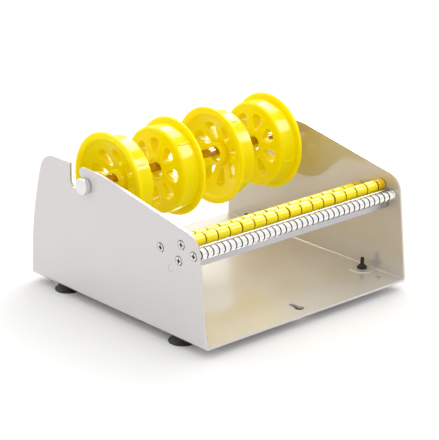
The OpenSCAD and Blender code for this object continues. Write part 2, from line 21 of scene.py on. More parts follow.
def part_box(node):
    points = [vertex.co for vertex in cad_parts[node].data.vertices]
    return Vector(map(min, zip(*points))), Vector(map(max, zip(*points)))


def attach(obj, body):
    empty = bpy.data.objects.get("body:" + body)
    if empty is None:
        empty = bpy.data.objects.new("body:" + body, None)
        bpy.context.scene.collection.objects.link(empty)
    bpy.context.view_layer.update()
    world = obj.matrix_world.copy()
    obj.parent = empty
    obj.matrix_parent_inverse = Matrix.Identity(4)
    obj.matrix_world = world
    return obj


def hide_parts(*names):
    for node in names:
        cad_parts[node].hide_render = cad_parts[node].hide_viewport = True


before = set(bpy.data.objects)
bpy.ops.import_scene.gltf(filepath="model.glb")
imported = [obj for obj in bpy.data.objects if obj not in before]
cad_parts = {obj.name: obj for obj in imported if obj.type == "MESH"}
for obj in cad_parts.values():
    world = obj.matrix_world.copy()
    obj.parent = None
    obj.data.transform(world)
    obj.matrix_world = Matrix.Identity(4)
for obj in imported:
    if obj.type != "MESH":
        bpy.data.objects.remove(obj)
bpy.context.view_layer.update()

Points = NDArray[np.float64]
Colour = tuple[float, float, float]

MM = 0.001
MERGE_DISTANCE = 2e-6
SHARP_ANGLE = math.radians(38)
LEAST_ROUNDING = 1e-4
BEND_GAIN = 6.0
BEND_START = 0.15
EVENLY = (1.0, 1.0, 1.0)
SMALL_SECTORS = 64
# Attribute of each point's convexity; it masks edge wear and painted edge highlights and dark rings.
CONVEX_ATTRIBUTE = "rub"
NOOK_ATTRIBUTE = "nook"
LOG = logging.getLogger("label_dispenser")


class Slot(Enum):
    """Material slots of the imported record."""

    CRADLE = "cradle_paint"
    RAIL = "rail_steel"
    REEL = "reel_plastic"
    SPOOL = "spool_plastic"
    SPINDLE = "spindle_steel"
    RING = "ring_nickel"
    AXLE = "axle_steel"
    SCREW = "screw_steel"
    FOOT = "foot_rubber"


class Axis(Enum):
    """Direction of a turned piece's axis."""

    ACROSS = "x"
    UP = "z"


class DrumSide(Enum):
    """Side of its flange on which a reel carries its drum."""

    RIGHT = 1
    LEFT = -1


class Side(Enum):
    """End of the spindle, as a sign along X."""

    LEFT = -1
    RIGHT = 1


@dataclass(frozen=True)
class Span:
    """Box of a CAD node at rest, in millimetres."""

    low: Points
    high: Points

    @classmethod
    def of(cls, node: str) -> "Span":
        """Read a node's box from the frame.

        Args:
            node: name of the CAD node.

        Returns:
            The node's box.
        """
        low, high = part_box(node)
        return cls(np.array(low) / MM, np.array(high) / MM)

    @property
    def centre(self) -> Points:
        """Middle of the box."""
        return (self.low + self.high) / 2

    @property
    def radius(self) -> float:
        """Half of the box's height, which is a cross piece's radius."""
        return float(self.high[2] - self.low[2]) / 2


@dataclass(frozen=True)
class Patch:
    """Grid of points that becomes a sheet of quads, whose last column joins the first.

    Attributes:
        points: array of shape (rows, columns, 3), in millimetres.
    """

    points: Points

    def quads(self) -> NDArray[np.int64]:
        """Corner numbers of the quads between neighbouring rows and columns.

        Returns:
            Array of shape (quads, 4).
        """
        rows, columns = self.points.shape[:2]
        row, column = np.meshgrid(np.arange(rows - 1), np.arange(columns), indexing="ij")
        after = (column + 1) % columns
        corners = [
            row * columns + column,
            row * columns + after,
            (row + 1) * columns + after,
            (row + 1) * columns + column,
        ]
        return np.stack(corners, -1).reshape(-1, 4)


def unit(vectors: Points) -> Points:
    """Scale each vector to length one."""
    return vectors / np.linalg.norm(vectors, axis=-1, keepdims=True)


def rounded(corners: Sequence[tuple[float, float, float]], steps: int = 5) -> Points:
    """Round the inner corners of an open outline by arcs.

    An arc of radius r touches both sides of its corner at r / tan(a / 2), where a is the angle between
    them, and its points are weighted by the sines of the angle that is left and the angle that is done.

    Args:
        corners: points as (radius, place, rounding), of which the two ends stay sharp.
        steps: points on each arc.

    Returns:
        Array of shape (points, 2).
    """
    table = np.array(corners, float)
    points, radii = table[:, :2], np.maximum(table[1:-1, 2:], LEAST_ROUNDING)
    back = unit(points[:-2] - points[1:-1])
    ahead = unit(points[2:] - points[1:-1])
    half = np.arccos(np.clip((back * ahead).sum(-1, keepdims=True), -1, 1)) / 2
    centre = points[1:-1] + unit(back + ahead) * radii / np.sin(half)
    start = points[1:-1] + back * radii / np.tan(half) - centre
    end = points[1:-1] + ahead * radii / np.tan(half) - centre
    sweep = (math.pi - 2 * half)[:, None]
    done = np.linspace(0, 1, steps)[None, :, None]
    arcs = centre[:, None] + (
        np.sin((1 - done) * sweep) * start[:, None] + np.sin(done * sweep) * end[:, None]
    ) / np.sin(sweep)
    return np.concatenate([points[:1], arcs.reshape(-1, 2), points[-1:]])


def turned(
    profile: Points, centre: Sequence[float], axis: Axis, sectors: int = 96, start: float = 0.0
) -> Patch:
    """Carry a profile round an axis.

    A profile point (r, s) at angle t lies r cos t and r sin t off the axis, and s along it.

    Args:
        profile: array of (radius, place along the axis).
        centre: the two coordinates of the axis, [y, z] or [x, y].
        axis: direction of the axis.
        sectors: number of steps round the axis.
        start: angle of the first step, in radians.

    Returns:
        A patch with one row for each profile point.
    """
    angle = start + np.linspace(0, 2 * math.pi, sectors, endpoint=False)
    first = centre[0] + profile[:, :1] * np.cos(angle)
    second = centre[1] + profile[:, :1] * np.sin(angle)
    along = np.broadcast_to(profile[:, 1:], first.shape)
    order = [along, first, second] if axis is Axis.ACROSS else [first, second, along]
    return Patch(np.stack(order, -1))


def edge_bends(mesh: bpy.types.Mesh) -> None:
    """Store how sharply each point stands out from its neighbours or lies behind them, from 0 to 1.

    For an edge from p to q, the normal at p times the direction to q is negative where p stands out.
    The mean over a point's edges, with its sign turned, is its convexity, and its nook where it is below
    zero.

    Args:
        mesh: finished mesh.
    """
    count = len(mesh.vertices)
    places = np.empty(count * 3)
    mesh.vertices.foreach_get("co", places)
    normals = np.empty(count * 3)
    mesh.vertices.foreach_get("normal", normals)
    ends = np.empty(len(mesh.edges) * 2, np.int32)
    mesh.edges.foreach_get("vertices", ends)
    places, normals, ends = places.reshape(-1, 3), normals.reshape(-1, 3), ends.reshape(-1, 2)
    way = unit(places[ends[:, 1]] - places[ends[:, 0]])
    total = np.zeros(count)
    np.add.at(total, ends[:, 0], -(normals[ends[:, 0]] * way).sum(-1))
    np.add.at(total, ends[:, 1], (normals[ends[:, 1]] * way).sum(-1))
    degree = np.maximum(np.bincount(ends.ravel(), minlength=count), 1)
    bend = BEND_GAIN * total / degree
    for name, value in ((CONVEX_ATTRIBUTE, bend), (NOOK_ATTRIBUTE, -bend)):
        layer = mesh.attributes.new(name, "FLOAT", "POINT")
        layer.data.foreach_set("value", np.clip(value - BEND_START, 0, 1).astype(np.float32))


def make_piece(name: str, patches: Sequence[Patch], material: bpy.types.Material) -> bpy.types.Object:
    """Join patches into one closed mesh at the origin, smooth but for its sharp edges.

    Args:
        name: name of the object and of its mesh.
        patches: surfaces whose shared edges have the same points.
        material: finish of the whole piece.

    Returns:
        The new object, linked to the scene.
    """
    sizes = [patch.points.shape[0] * patch.points.shape[1] for patch in patches]
    starts = np.concatenate([[0], np.cumsum(sizes)[:-1]])
    points = np.concatenate([patch.points.reshape(-1, 3) for patch in patches]) * MM
    quads = np.concatenate([patch.quads() + first for patch, first in zip(patches, starts)])
    mesh = bpy.data.meshes.new(name)
    mesh.from_pydata(points, [], quads.tolist())
    work = bmesh.new()
    work.from_mesh(mesh)
    bmesh.ops.remove_doubles(work, verts=work.verts, dist=MERGE_DISTANCE)
    bmesh.ops.recalc_face_normals(work, faces=work.faces)
    work.to_mesh(mesh)
    work.free()
    mesh.polygons.foreach_set("use_smooth", np.ones(len(mesh.polygons), bool))
    mesh.set_sharp_from_angle(angle=SHARP_ANGLE)
    edge_bends(mesh)
    mesh.materials.append(material)
    piece = bpy.data.objects.new(name, mesh)
    bpy.context.scene.collection.objects.link(piece)
    return piece


def shade_below(piece: bpy.types.Object, axis: Points, radius: float, start: float, reach: float) -> None:
    """Add painted shade to a cross piece's nook wherever its surface lies well below its outer radius.

    At distance r from the axis the nook is at least (radius - start - r) / reach.

    Args:
        piece: piece turned about an axis along X.
        axis: Y and Z of the axis.
        radius: outer radius.
        start: depth below the outer radius at which the shade starts.
        reach: further depth at which it is full.
    """
    mesh = piece.data
    places = np.empty(len(mesh.vertices) * 3)
    mesh.vertices.foreach_get("co", places)
    away = np.linalg.norm(places.reshape(-1, 3)[:, 1:] / MM - axis, axis=-1)
    layer = mesh.attributes[NOOK_ATTRIBUTE]
    nook = np.empty(len(mesh.vertices), np.float32)
    layer.data.foreach_get("value", nook)
    deep = np.clip((radius - start - away) / reach, 0, 1)
    layer.data.foreach_set("value", np.maximum(nook, deep).astype(np.float32))


def settle(piece: bpy.types.Object, body: str, node: str) -> None:
    """Let a new piece stand for a CAD node and move with its body.

    Args:
        piece: the new piece.
        body: CAD body that it rides on.
        node: CAD node that it replaces.
    """
    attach(piece, body)
    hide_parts(node)
    LOG.info("%s stands for %s with %d faces", piece.name, node, len(piece.data.polygons))


class Graph:
    """Shader tree with short calls for making and linking nodes."""

    def __init__(self, tree: bpy.types.NodeTree) -> None:
        """Keep the tree that the calls work on."""
        self.tree = tree

    def add(self, kind: str, **settings: object) -> bpy.types.Node:
        """Add a node.

        Args:
            kind: Blender's name of the node type.
            settings: properties to set on the node.

        Returns:
            The new node.
        """
        node = self.tree.nodes.new(kind)
        for name, value in settings.items():
            setattr(node, name, value)
        return node

    def link(self, source: bpy.types.NodeSocket, target: bpy.types.NodeSocket) -> None:
        """Link an output to an input."""
        self.tree.links.new(source, target)

    def noise(self, vector: bpy.types.NodeSocket, detail: float) -> bpy.types.NodeSocket:
        """Add a noise texture.

        Args:
            vector: scaled coordinates that it reads.
            detail: number of finer layers.

        Returns:
            The noise value, from 0 to 1.
        """
        node = self.add("ShaderNodeTexNoise")
        node.inputs["Scale"].default_value = 1.0
        node.inputs["Detail"].default_value = detail
        self.link(vector, node.inputs["Vector"])
        return node.outputs["Fac"]

    def remap(
        self, value: bpy.types.NodeSocket, source: tuple[float, float], target: tuple[float, float]
    ) -> bpy.types.NodeSocket:
        """Carry a value from one range to another, clamped.

        Args:
            value: the value to carry over.
            source: its two ends.
            target: the two ends that it gets.

        Returns:
            The new value.
        """
        node = self.add("ShaderNodeMapRange")
        for place, number in enumerate((*source, *target), start=1):
            node.inputs[place].default_value = number
        self.link(value, node.inputs["Value"])
        return node.outputs["Result"]

    def maths(
        self, operation: str, first: bpy.types.NodeSocket, second: bpy.types.NodeSocket | float
    ) -> bpy.types.NodeSocket:
        """Combine two values.

        Args:
            operation: Blender's name of the operation.
            first: first value.
            second: second value, a socket or a number.

        Returns:
            The result.
        """
        node = self.add("ShaderNodeMath", operation=operation)
        self.link(first, node.inputs[0])
        if isinstance(second, (int, float)):
            node.inputs[1].default_value = second
        else:
            self.link(second, node.inputs[1])
        return node.outputs[0]

    def blend(
        self,
        mask: bpy.types.NodeSocket,
        first: bpy.types.NodeSocket | Colour,
        second: bpy.types.NodeSocket | Colour,
    ) -> bpy.types.NodeSocket:
        """Mix two colours by a mask.

        Args:
            mask: 0 gives the first colour and 1 the second.
            first: colour or socket.
            second: colour or socket.

        Returns:
            The mixed colour.
        """
        node = self.add("ShaderNodeMix", data_type="RGBA")
        self.link(mask, node.inputs[0])
        for place, colour in ((6, first), (7, second)):
            if isinstance(colour, tuple):
                node.inputs[place].default_value = (*colour, 1.0)
            else:
                self.link(colour, node.inputs[place])
        return node.outputs[2]


class Effect(ABC):
    """Node group that several finishes share."""

    title: ClassVar[str]
    inputs: ClassVar[dict[str, float]]
    outputs: ClassVar[tuple[str, ...]]

    @classmethod
    def group(cls) -> bpy.types.NodeTree:
        """Build the group on first use.

        Returns:
            The group, with its named sockets.
        """
        if cls.title in bpy.data.node_groups:
            return bpy.data.node_groups[cls.title]
        tree = bpy.data.node_groups.new(cls.title, "ShaderNodeTree")
        for name, value in cls.inputs.items():
            socket = tree.interface.new_socket(name, in_out="INPUT", socket_type="NodeSocketFloat")
            socket.default_value = value
        for name in cls.outputs:
            tree.interface.new_socket(name, in_out="OUTPUT", socket_type="NodeSocketFloat")
        graph = Graph(tree)
        source = graph.add("NodeGroupInput")
        target = graph.add("NodeGroupOutput")
        cls.wire(graph, source, target)
        return tree

    @classmethod
    @abstractmethod
    def wire(cls, graph: Graph, source: bpy.types.Node, target: bpy.types.Node) -> None:
        """Make the group's inner nodes.

        Args:
            graph: the group's tree.
            source: its input node.
            target: its output node.
        """

    @classmethod
    def place(cls, graph: Graph, **values: float) -> bpy.types.Node:
        """Put the group into a material.

        Args:
            graph: the material's tree.
            values: numbers for its named inputs.

        Returns:
            The group node.
        """
        node = graph.add("ShaderNodeGroup", node_tree=cls.group())
        for name, value in values.items():
            node.inputs[name].default_value = value
        return node


def scaled_place(
    graph: Graph, factor: bpy.types.NodeSocket, stretch: tuple[float, float, float]
) -> bpy.types.NodeSocket:
    """Object coordinates times a factor, stretched along the axes.

    Args:
        graph: tree to add to.
        factor: number that multiplies all three coordinates.
        stretch: number for each coordinate.

    Returns:
        The scaled coordinates.
    """
    place = graph.add("ShaderNodeTexCoord")
    stretched = graph.add("ShaderNodeVectorMath", operation="MULTIPLY")
    stretched.inputs[1].default_value = stretch
    graph.link(place.outputs["Object"], stretched.inputs[0])
    scaled = graph.add("ShaderNodeVectorMath", operation="SCALE")
    graph.link(stretched.outputs[0], scaled.inputs[0])
    graph.link(factor, scaled.inputs["Scale"])
    return scaled.outputs[0]


class NoisePair(Effect):
    """Fine relief and broad clouds, each a noise at the scale that one input gives."""

    outputs = ("Height", "Cloud")
    stretches: ClassVar[tuple[tuple[float, float, float], ...]]
    details: ClassVar[tuple[float, float]]

    @classmethod
    def wire(cls, graph: Graph, source: bpy.types.Node, target: bpy.types.Node) -> None:
        """Stretch each noise along the axes and put it out under its name.

        Args:
            graph: the group's tree.
            source: its input node.
            target: its output node.
        """
        for scale, name, stretch, detail in zip(cls.inputs, cls.outputs, cls.stretches, cls.details):
            place = scaled_place(graph, source.outputs[scale], stretch)
            graph.link(graph.noise(place, detail), target.inputs[name])


class RolledGrain(NoisePair):
    """Fine lines of rolled sheet, forty times as long along Y, and broad clouds of polish."""

    title = "rolled_grain"
    inputs = {"Lines": 2400.0, "Clouds": 14.0}
    stretches = ((1.0, 0.025, 1.0), (1.0, 0.6, 1.0))
    details = (2.0, 3.0)


class MouldSkin(NoisePair):
    """Fine skin of moulded plastic and slow changes of its colour."""

    title = "mould_skin"
    inputs = {"Skin": 1500.0, "Flow": 22.0}
    stretches = (EVENLY, (0.5, 1.0, 1.0))
    details = (3.0, 2.0)


class LatheLines(NoisePair):
    """Fine turning marks that change fast along X and slowly round it, and small clouds."""

    title = "lathe_lines"
    inputs = {"Lines": 5200.0, "Clouds": 60.0}
    stretches = ((1.0, 0.03, 0.03), EVENLY)
    details = (1.0, 2.0)


class StoredMask(Effect):
    """Mask that a piece keeps at its points, broken up by noise."""

    outputs = ("Mask",)
    attribute: ClassVar[str]
    noise_ends: ClassVar[tuple[float, float]]
    mask_ends: ClassVar[tuple[float, float]]

    @classmethod
    def wire(cls, graph: Graph, source: bpy.types.Node, target: bpy.types.Node) -> None:
        """Multiply the stored value past its start by a noise and the reach.

        Args:
            graph: the group's tree.
            source: its input node.
            target: its output node.
        """
        stored = graph.add("ShaderNodeAttribute", attribute_name=cls.attribute)
        past = graph.maths("SUBTRACT", stored.outputs["Fac"], source.outputs["Start"])
        breaks = graph.noise(scaled_place(graph, source.outputs["Breaks"], EVENLY), 2.0)
        broken = graph.maths("MULTIPLY", past, graph.remap(breaks, cls.noise_ends, cls.mask_ends))
        graph.link(graph.maths("MULTIPLY", broken, source.outputs["Reach"]), target.inputs["Mask"])


class EdgeWearAndPaintedLight(StoredMask):
    """Mask of rounded edges, for a tone that is partly wear and partly painted light: highlights on plastic
    rims, dark rings on screws.
    """

    title = "handled_edge"
    inputs = {"Reach": 1.0, "Start": 0.0, "Breaks": 300.0}
    attribute = CONVEX_ATTRIBUTE
    noise_ends = (0.3, 0.65)
    mask_ends = (0.2, 1.0)


class GroovedShade(StoredMask):
    """Painted shade: a deeper colour laid in grooves and inner corners, where shade falls."""

    title = "grooved_shade"
    inputs = {"Reach": 1.0, "Start": 0.0, "Breaks": 120.0}
    attribute = NOOK_ATTRIBUTE
    noise_ends = (0.3, 0.7)
    mask_ends = (0.7, 1.0)


class PaintedInnerShade(Effect):
    """Painted shade and yellow bounce light on the sheet's faces between the two cheeks, less so at the
    front of the base.
    """

    title = "inner_side"
    inputs = {"Half": 0.1, "Reach": 1.0}
    outputs = ("Mask",)
    # The painted shade rises towards the rear of the base and up the cheeks.
    base_rise: ClassVar[tuple[float, float]] = (-0.095, 0.0)
    cheek_rise: ClassVar[tuple[float, float]] = (0.02, 0.035)
    cheek_share: ClassVar[float] = 0.9

    @classmethod
    def wire(cls, graph: Graph, source: bpy.types.Node, target: bpy.types.Node) -> None:
        """Test the distance from the middle against half the width, and rise along Y and Z, in metres.

        Args:
            graph: the group's tree.
            source: its input node.
            target: its output node.
        """
        place = graph.add("ShaderNodeTexCoord")
        split = graph.add("ShaderNodeSeparateXYZ")
        graph.link(place.outputs["Object"], split.inputs[0])
        aside = graph.maths("ABSOLUTE", split.outputs["X"], 0.0)
        within = graph.maths("LESS_THAN", aside, source.outputs["Half"])
        rear = graph.remap(split.outputs["Y"], cls.base_rise, (0.0, 1.0))
        high = graph.remap(split.outputs["Z"], cls.cheek_rise, (0.0, cls.cheek_share))
        deeper = graph.maths("MULTIPLY", within, graph.maths("MAXIMUM", rear, high))
        graph.link(graph.maths("MULTIPLY", deeper, source.outputs["Reach"]), target.inputs["Mask"])


class SettledDust(Effect):
    """Thin dust on faces that look up."""

    title = "settled_dust"
    inputs = {"Amount": 0.1, "Specks": 900.0}
    outputs = ("Mask",)
    slope_ends: ClassVar[tuple[float, float]] = (0.55, 1.0)
    speck_ends: ClassVar[tuple[float, float]] = (0.45, 0.75)

    @classmethod
    def wire(cls, graph: Graph, source: bpy.types.Node, target: bpy.types.Node) -> None:
        """Take the upward part of the normal times a speckled noise.

        Args:
            graph: the group's tree.
            source: its input node.
            target: its output node.
        """
        shape = graph.add("ShaderNodeNewGeometry")
        split = graph.add("ShaderNodeSeparateXYZ")
        graph.link(shape.outputs["Normal"], split.inputs[0])
        upward = graph.remap(split.outputs["Z"], cls.slope_ends, (0.0, 1.0))
        specks = graph.noise(scaled_place(graph, source.outputs["Specks"], EVENLY), 4.0)
        speckled = graph.maths("MULTIPLY", upward, graph.remap(specks, cls.speck_ends, (0.0, 1.0)))
        graph.link(graph.maths("MULTIPLY", speckled, source.outputs["Amount"]), target.inputs["Mask"])


@dataclass(frozen=True)
class Finish(ABC):
    """Look of one material slot.

    Attributes:
        slot: material slot that it belongs to.
        colour: main colour, linear.
        shade: second colour of its slow changes, linear.
        roughness: lowest and highest roughness.
        relief: depth of its fine texture, in millimetres.
        dust: amount of settled dust.
        variant: ending of the material's name, for a second tone of one slot.
    """

    slot: Slot
    colour: Colour
    shade: Colour
    roughness: tuple[float, float]
    relief: float
    dust: float = 0.05
    variant: str = ""
    dust_colour: ClassVar[Colour] = (0.55, 0.52, 0.47)
    cloud_ends: ClassVar[tuple[float, float]] = (0.3, 0.7)

    def material(self) -> bpy.types.Material:
        """Build the material on first use.

        Returns:
            The slot's material.
        """
        name = self.slot.value + self.variant
        if name in bpy.data.materials:
            found = bpy.data.materials[name]
            if found.get("dressed"):
                return found
            found.name = name + "_cad"
        material = bpy.data.materials.new(name)
        material["dressed"] = True
        material.use_nodes = True
        graph = Graph(material.node_tree)
        shader = material.node_tree.nodes["Principled BSDF"]
        self.wire(graph, shader)
        return material

    @abstractmethod
    def wire(self, graph: Graph, shader: bpy.types.Node) -> None:
        """Make the material's nodes.

        Args:
            graph: the material's tree.
            shader: its Principled BSDF.
        """

    def surface(self, graph: Graph, shader: bpy.types.Node, skin: bpy.types.Node) -> bpy.types.NodeSocket:
        """Link the parts that all finishes share: slow colour, roughness, relief and dust.

        Args:
            graph: the material's tree.
            shader: its Principled BSDF.
            skin: group that gives Height and Cloud.

        Returns:
            The colour before dust, for the finish to change and link.
        """
        cloud = graph.remap(skin.outputs["Cloud"], self.cloud_ends, (0.0, 1.0))
        worn = graph.remap(cloud, (0.0, 1.0), self.roughness)
        graph.link(worn, shader.inputs["Roughness"])
        bump = graph.add("ShaderNodeBump")
        bump.inputs["Strength"].default_value = 1.0
        bump.inputs["Distance"].default_value = self.relief * MM
        graph.link(skin.outputs["Height"], bump.inputs["Height"])
        graph.link(bump.outputs["Normal"], shader.inputs["Normal"])
        return graph.blend(cloud, self.colour, self.shade)

    def dusted(self, graph: Graph, shader: bpy.types.Node, colour: bpy.types.NodeSocket) -> None:
        """Lay dust over a colour and link it.

        Args:
            graph: the material's tree.
            shader: its Principled BSDF.
            colour: colour under the dust.
        """
        dust = SettledDust.place(graph, Amount=self.dust)
        graph.link(graph.blend(dust.outputs["Mask"], colour, self.dust_colour), shader.inputs["Base Color"])


@dataclass(frozen=True)
class PowderCoat(Finish):
    """Satin coat of paint: a soft coloured body under a clear skin that mirrors its neighbours faintly."""

    skin_roughness: float = 0.13
    skin_ior: float = 2.4
    # Warmer, darker colour of the inner faces: painted shade and painted yellow bounce from the reels.
    inner: Colour = (0.51, 0.43, 0.31)
    inner_half: float = 116.6
    inner_reach: float = 0.95
    skin: float = 900.0
    flow: float = 12.0

    def wire(self, graph: Graph, shader: bpy.types.Node) -> None:
        """Use a coarse mould skin under a clear coat, with painted shade and painted yellow bounce light in
        a warmer tone on the inner side.

        Args:
            graph: the material's tree.
            shader: its Principled BSDF.
        """
        shader.inputs["Coat Weight"].default_value = 1.0
        shader.inputs["Coat Roughness"].default_value = self.skin_roughness
        shader.inputs["Coat IOR"].default_value = self.skin_ior
        colour = self.surface(graph, shader, MouldSkin.place(graph, Skin=self.skin, Flow=self.flow))
        within = PaintedInnerShade.place(graph, Half=self.inner_half * MM, Reach=self.inner_reach)
        self.dusted(graph, shader, graph.blend(within.outputs["Mask"], colour, self.inner))


@dataclass(frozen=True)
class SheetSteel(Finish):
    """Satin polished sheet that mirrors its neighbours softly."""

    lines: float = 2400.0

    def wire(self, graph: Graph, shader: bpy.types.Node) -> None:
        """Use rolled grain on bare metal.

        Args:
            graph: the material's tree.
            shader: its Principled BSDF.
        """
        shader.inputs["Metallic"].default_value = 1.0
        grain = RolledGrain.place(graph, Lines=self.lines)
        self.dusted(graph, shader, self.surface(graph, shader, grain))


@dataclass(frozen=True)
class TurnedMetal(Finish):
    """Bright plated metal with faint turning marks, painted shade in inner corners and edges of another
    tone, which is wear by default and a painted dark ring on the screws.
    """

    # Edge tone: wear by default, a painted dark ring round the screw heads.
    worn_and_painted_edge: Colour = (0.9, 0.9, 0.9)
    reach: float = 0.6
    start: float = 0.0
    # Painted shade in grooves and inner corners.
    deep: Colour = (0.05, 0.045, 0.04)
    depth: float = 0.3

    def wire(self, graph: Graph, shader: bpy.types.Node) -> None:
        """Use lathe lines on bare metal, with changed edges and painted shade in inner corners.

        Args:
            graph: the material's tree.
            shader: its Principled BSDF.
        """
        shader.inputs["Metallic"].default_value = 1.0
        colour = self.surface(graph, shader, LatheLines.place(graph))
        groove = GroovedShade.place(graph, Reach=self.depth)
        shaded = graph.blend(groove.outputs["Mask"], colour, self.deep)
        edge = EdgeWearAndPaintedLight.place(graph, Reach=self.reach, Start=self.start)
        self.dusted(graph, shader, graph.blend(edge.outputs["Mask"], shaded, self.worn_and_painted_edge))


@dataclass(frozen=True)
class MouldedPlastic(Finish):
    """Glossy moulded plastic that scatters light inside, with a painted glow, painted shade in grooves and
    paler edges that are partly wear and partly a painted highlight.
    """

    # Paler edge tone: partly wear, partly a painted highlight on rims and band edges.
    worn_and_painted_edge: Colour = (0.93, 0.78, 0.06)
    # Painted shade in grooves and inner corners.
    deep: Colour = (0.75, 0.5, 0.0)
    depth: float = 0.3
    edge_reach: float = 0.5
    gloss: float = 0.1
    # Strength of a painted glow in the shaded colour, standing in for light let through the plastic.
    through: float = 0.1
    glow: float = 1.0
    glow_reach: float = 3.0
    glow_tone: Colour = (0.8, 1.0, 0.05)

    def wire(self, graph: Graph, shader: bpy.types.Node) -> None:
        """Use mould skin under a gloss, scatter light inside and add a painted glow for light let in from
        all sides.

        Args:
            graph: the material's tree.
            shader: its Principled BSDF.
        """
        shader.inputs["Specular IOR Level"].default_value = self.gloss
        shader.inputs["Emission Strength"].default_value = self.through
        shader.inputs["Subsurface Weight"].default_value = self.glow
        shader.inputs["Subsurface Radius"].default_value = self.glow_tone
        shader.inputs["Subsurface Scale"].default_value = self.glow_reach * MM
        colour = self.surface(graph, shader, MouldSkin.place(graph))
        groove = GroovedShade.place(graph, Reach=self.depth)
        shaded = graph.blend(groove.outputs["Mask"], colour, self.deep)
        # The painted glow takes the shaded colour.
        graph.link(shaded, shader.inputs["Emission Color"])
        edge = EdgeWearAndPaintedLight.place(graph, Reach=self.edge_reach)
        self.dusted(graph, shader, graph.blend(edge.outputs["Mask"], shaded, self.worn_and_painted_edge))


@dataclass(frozen=True)
class MattRubber(Finish):
    """Black rubber with a dry bloom."""

    gloss: float = 0.35
    skin: float = 2600.0

    def wire(self, graph: Graph, shader: bpy.types.Node) -> None:
        """Use a coarse mould skin."""
        shader.inputs["Specular IOR Level"].default_value = self.gloss
        self.dusted(graph, shader, self.surface(graph, shader, MouldSkin.place(graph, Skin=self.skin)))


CRADLE_PAINT = PowderCoat(
    Slot.CRADLE, (0.545, 0.522, 0.52), (0.53, 0.507, 0.504), (0.42, 0.5), relief=0.002, dust=0.02
)
RAIL_STEEL = SheetSteel(
    Slot.RAIL, (0.5, 0.49, 0.51), (0.46, 0.45, 0.47), (0.3, 0.38), relief=0.001, dust=0.02
)
# Reel plastic with a stronger painted glow.
REEL_YELLOW = MouldedPlastic(
    Slot.REEL, (0.82, 0.68, 0.0), (0.81, 0.66, 0.0), (0.12, 0.17), relief=0.0008, dust=0.0, through=0.14
)
# Its dark brown deep colour paints the shade in the spools' grooves and gaps; its paler edges paint
# highlights on the band edges.
SPOOL_YELLOW = MouldedPlastic(
    Slot.SPOOL, (0.9, 0.71, 0.005), (0.89, 0.69, 0.005), (0.22, 0.3), relief=0.0015, dust=0.0,
    deep=(0.16, 0.075, 0.003), depth=1.5, gloss=0.15, glow=0.2, glow_reach=2.0,
)
# Darker gold of the short end spools: painted shade and painted reflection of the right cheek.
SPOOL_SHADED_END = replace(SPOOL_YELLOW, colour=(0.68, 0.4, 0.003), shade=(0.66, 0.38, 0.003), variant="_gold")
SPINDLE_PLATE = TurnedMetal(
    Slot.SPINDLE, (0.78, 0.77, 0.76), (0.72, 0.71, 0.7), (0.07, 0.13), relief=0.0005, dust=0.02
)
SPINDLE_GOLD = replace(SPINDLE_PLATE, colour=(0.6, 0.34, 0.09), shade=(0.52, 0.28, 0.07), variant="_gold")
# Its near-black deep colour paints the shade in the gaps between the rings; its edge tone is off.
RING_NICKEL = TurnedMetal(
    Slot.RING, (0.88, 0.865, 0.85), (0.84, 0.825, 0.81), (0.1, 0.16), relief=0.0006, dust=0.02,
    reach=0.0, deep=(0.012, 0.009, 0.007), depth=1.5,
)
AXLE_STEEL = TurnedMetal(
    Slot.AXLE, (0.46, 0.45, 0.44), (0.38, 0.37, 0.36), (0.25, 0.38), relief=0.001, dust=0.02
)
# Its dark edge tone paints the shade in the gap round each head, and its dark deep colour the shade in the
# cross recess.
SCREW_ZINC = TurnedMetal(
    Slot.SCREW, (0.88, 0.88, 0.89), (0.8, 0.8, 0.82), (0.2, 0.3), relief=0.001, dust=0.02,
    worn_and_painted_edge=(0.1, 0.09, 0.08), reach=2.5, start=0.1, deep=(0.1, 0.09, 0.08), depth=2.0,
)
FOOT_RUBBER = MattRubber(
    Slot.FOOT, (0.012, 0.012, 0.013), (0.02, 0.02, 0.02), (0.5, 0.66), relief=0.004, dust=0.05
)


@dataclass
class Cradle:
    """Bent sheet cradle with its rail and fasteners, which keep their CAD shapes."""

    nodes: tuple[tuple[str, Finish], ...] = (
        ("frame", CRADLE_PAINT),
        ("guide_rail", RAIL_STEEL),
        ("rail_nuts", AXLE_STEEL),
        ("axle_front", AXLE_STEEL),
        ("axle_rear", AXLE_STEEL),
        ("axle_peel", AXLE_STEEL),
    )
    rounded_nodes: tuple[str, ...] = ("frame", "guide_rail")
    edge: float = 0.3
    edge_steps: int = 3

    def dress(self) -> None:
        """Give each node its finish, and soften the edges of the sheet pieces."""
        for name, finish in self.nodes:
            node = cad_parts[name]
            node.data.materials.clear()
            node.data.materials.append(finish.material())
            if name in self.rounded_nodes:
                self.soften(node)
            LOG.info("%s keeps its CAD shape in %s", name, finish.slot.value)

    def soften(self, node: bpy.types.Object) -> None:
        """Join the node's triangles and round its sharp edges.

        Args:
            node: CAD node.
        """
        weld = node.modifiers.new("joined", "WELD")
        weld.merge_threshold = MERGE_DISTANCE
        bevel = node.modifiers.new("soft_edges", "BEVEL")
        bevel.width = self.edge * MM
        bevel.segments = self.edge_steps
        bevel.limit_method = "ANGLE"
        bevel.angle_limit = SHARP_ANGLE
        bevel.harden_normals = True


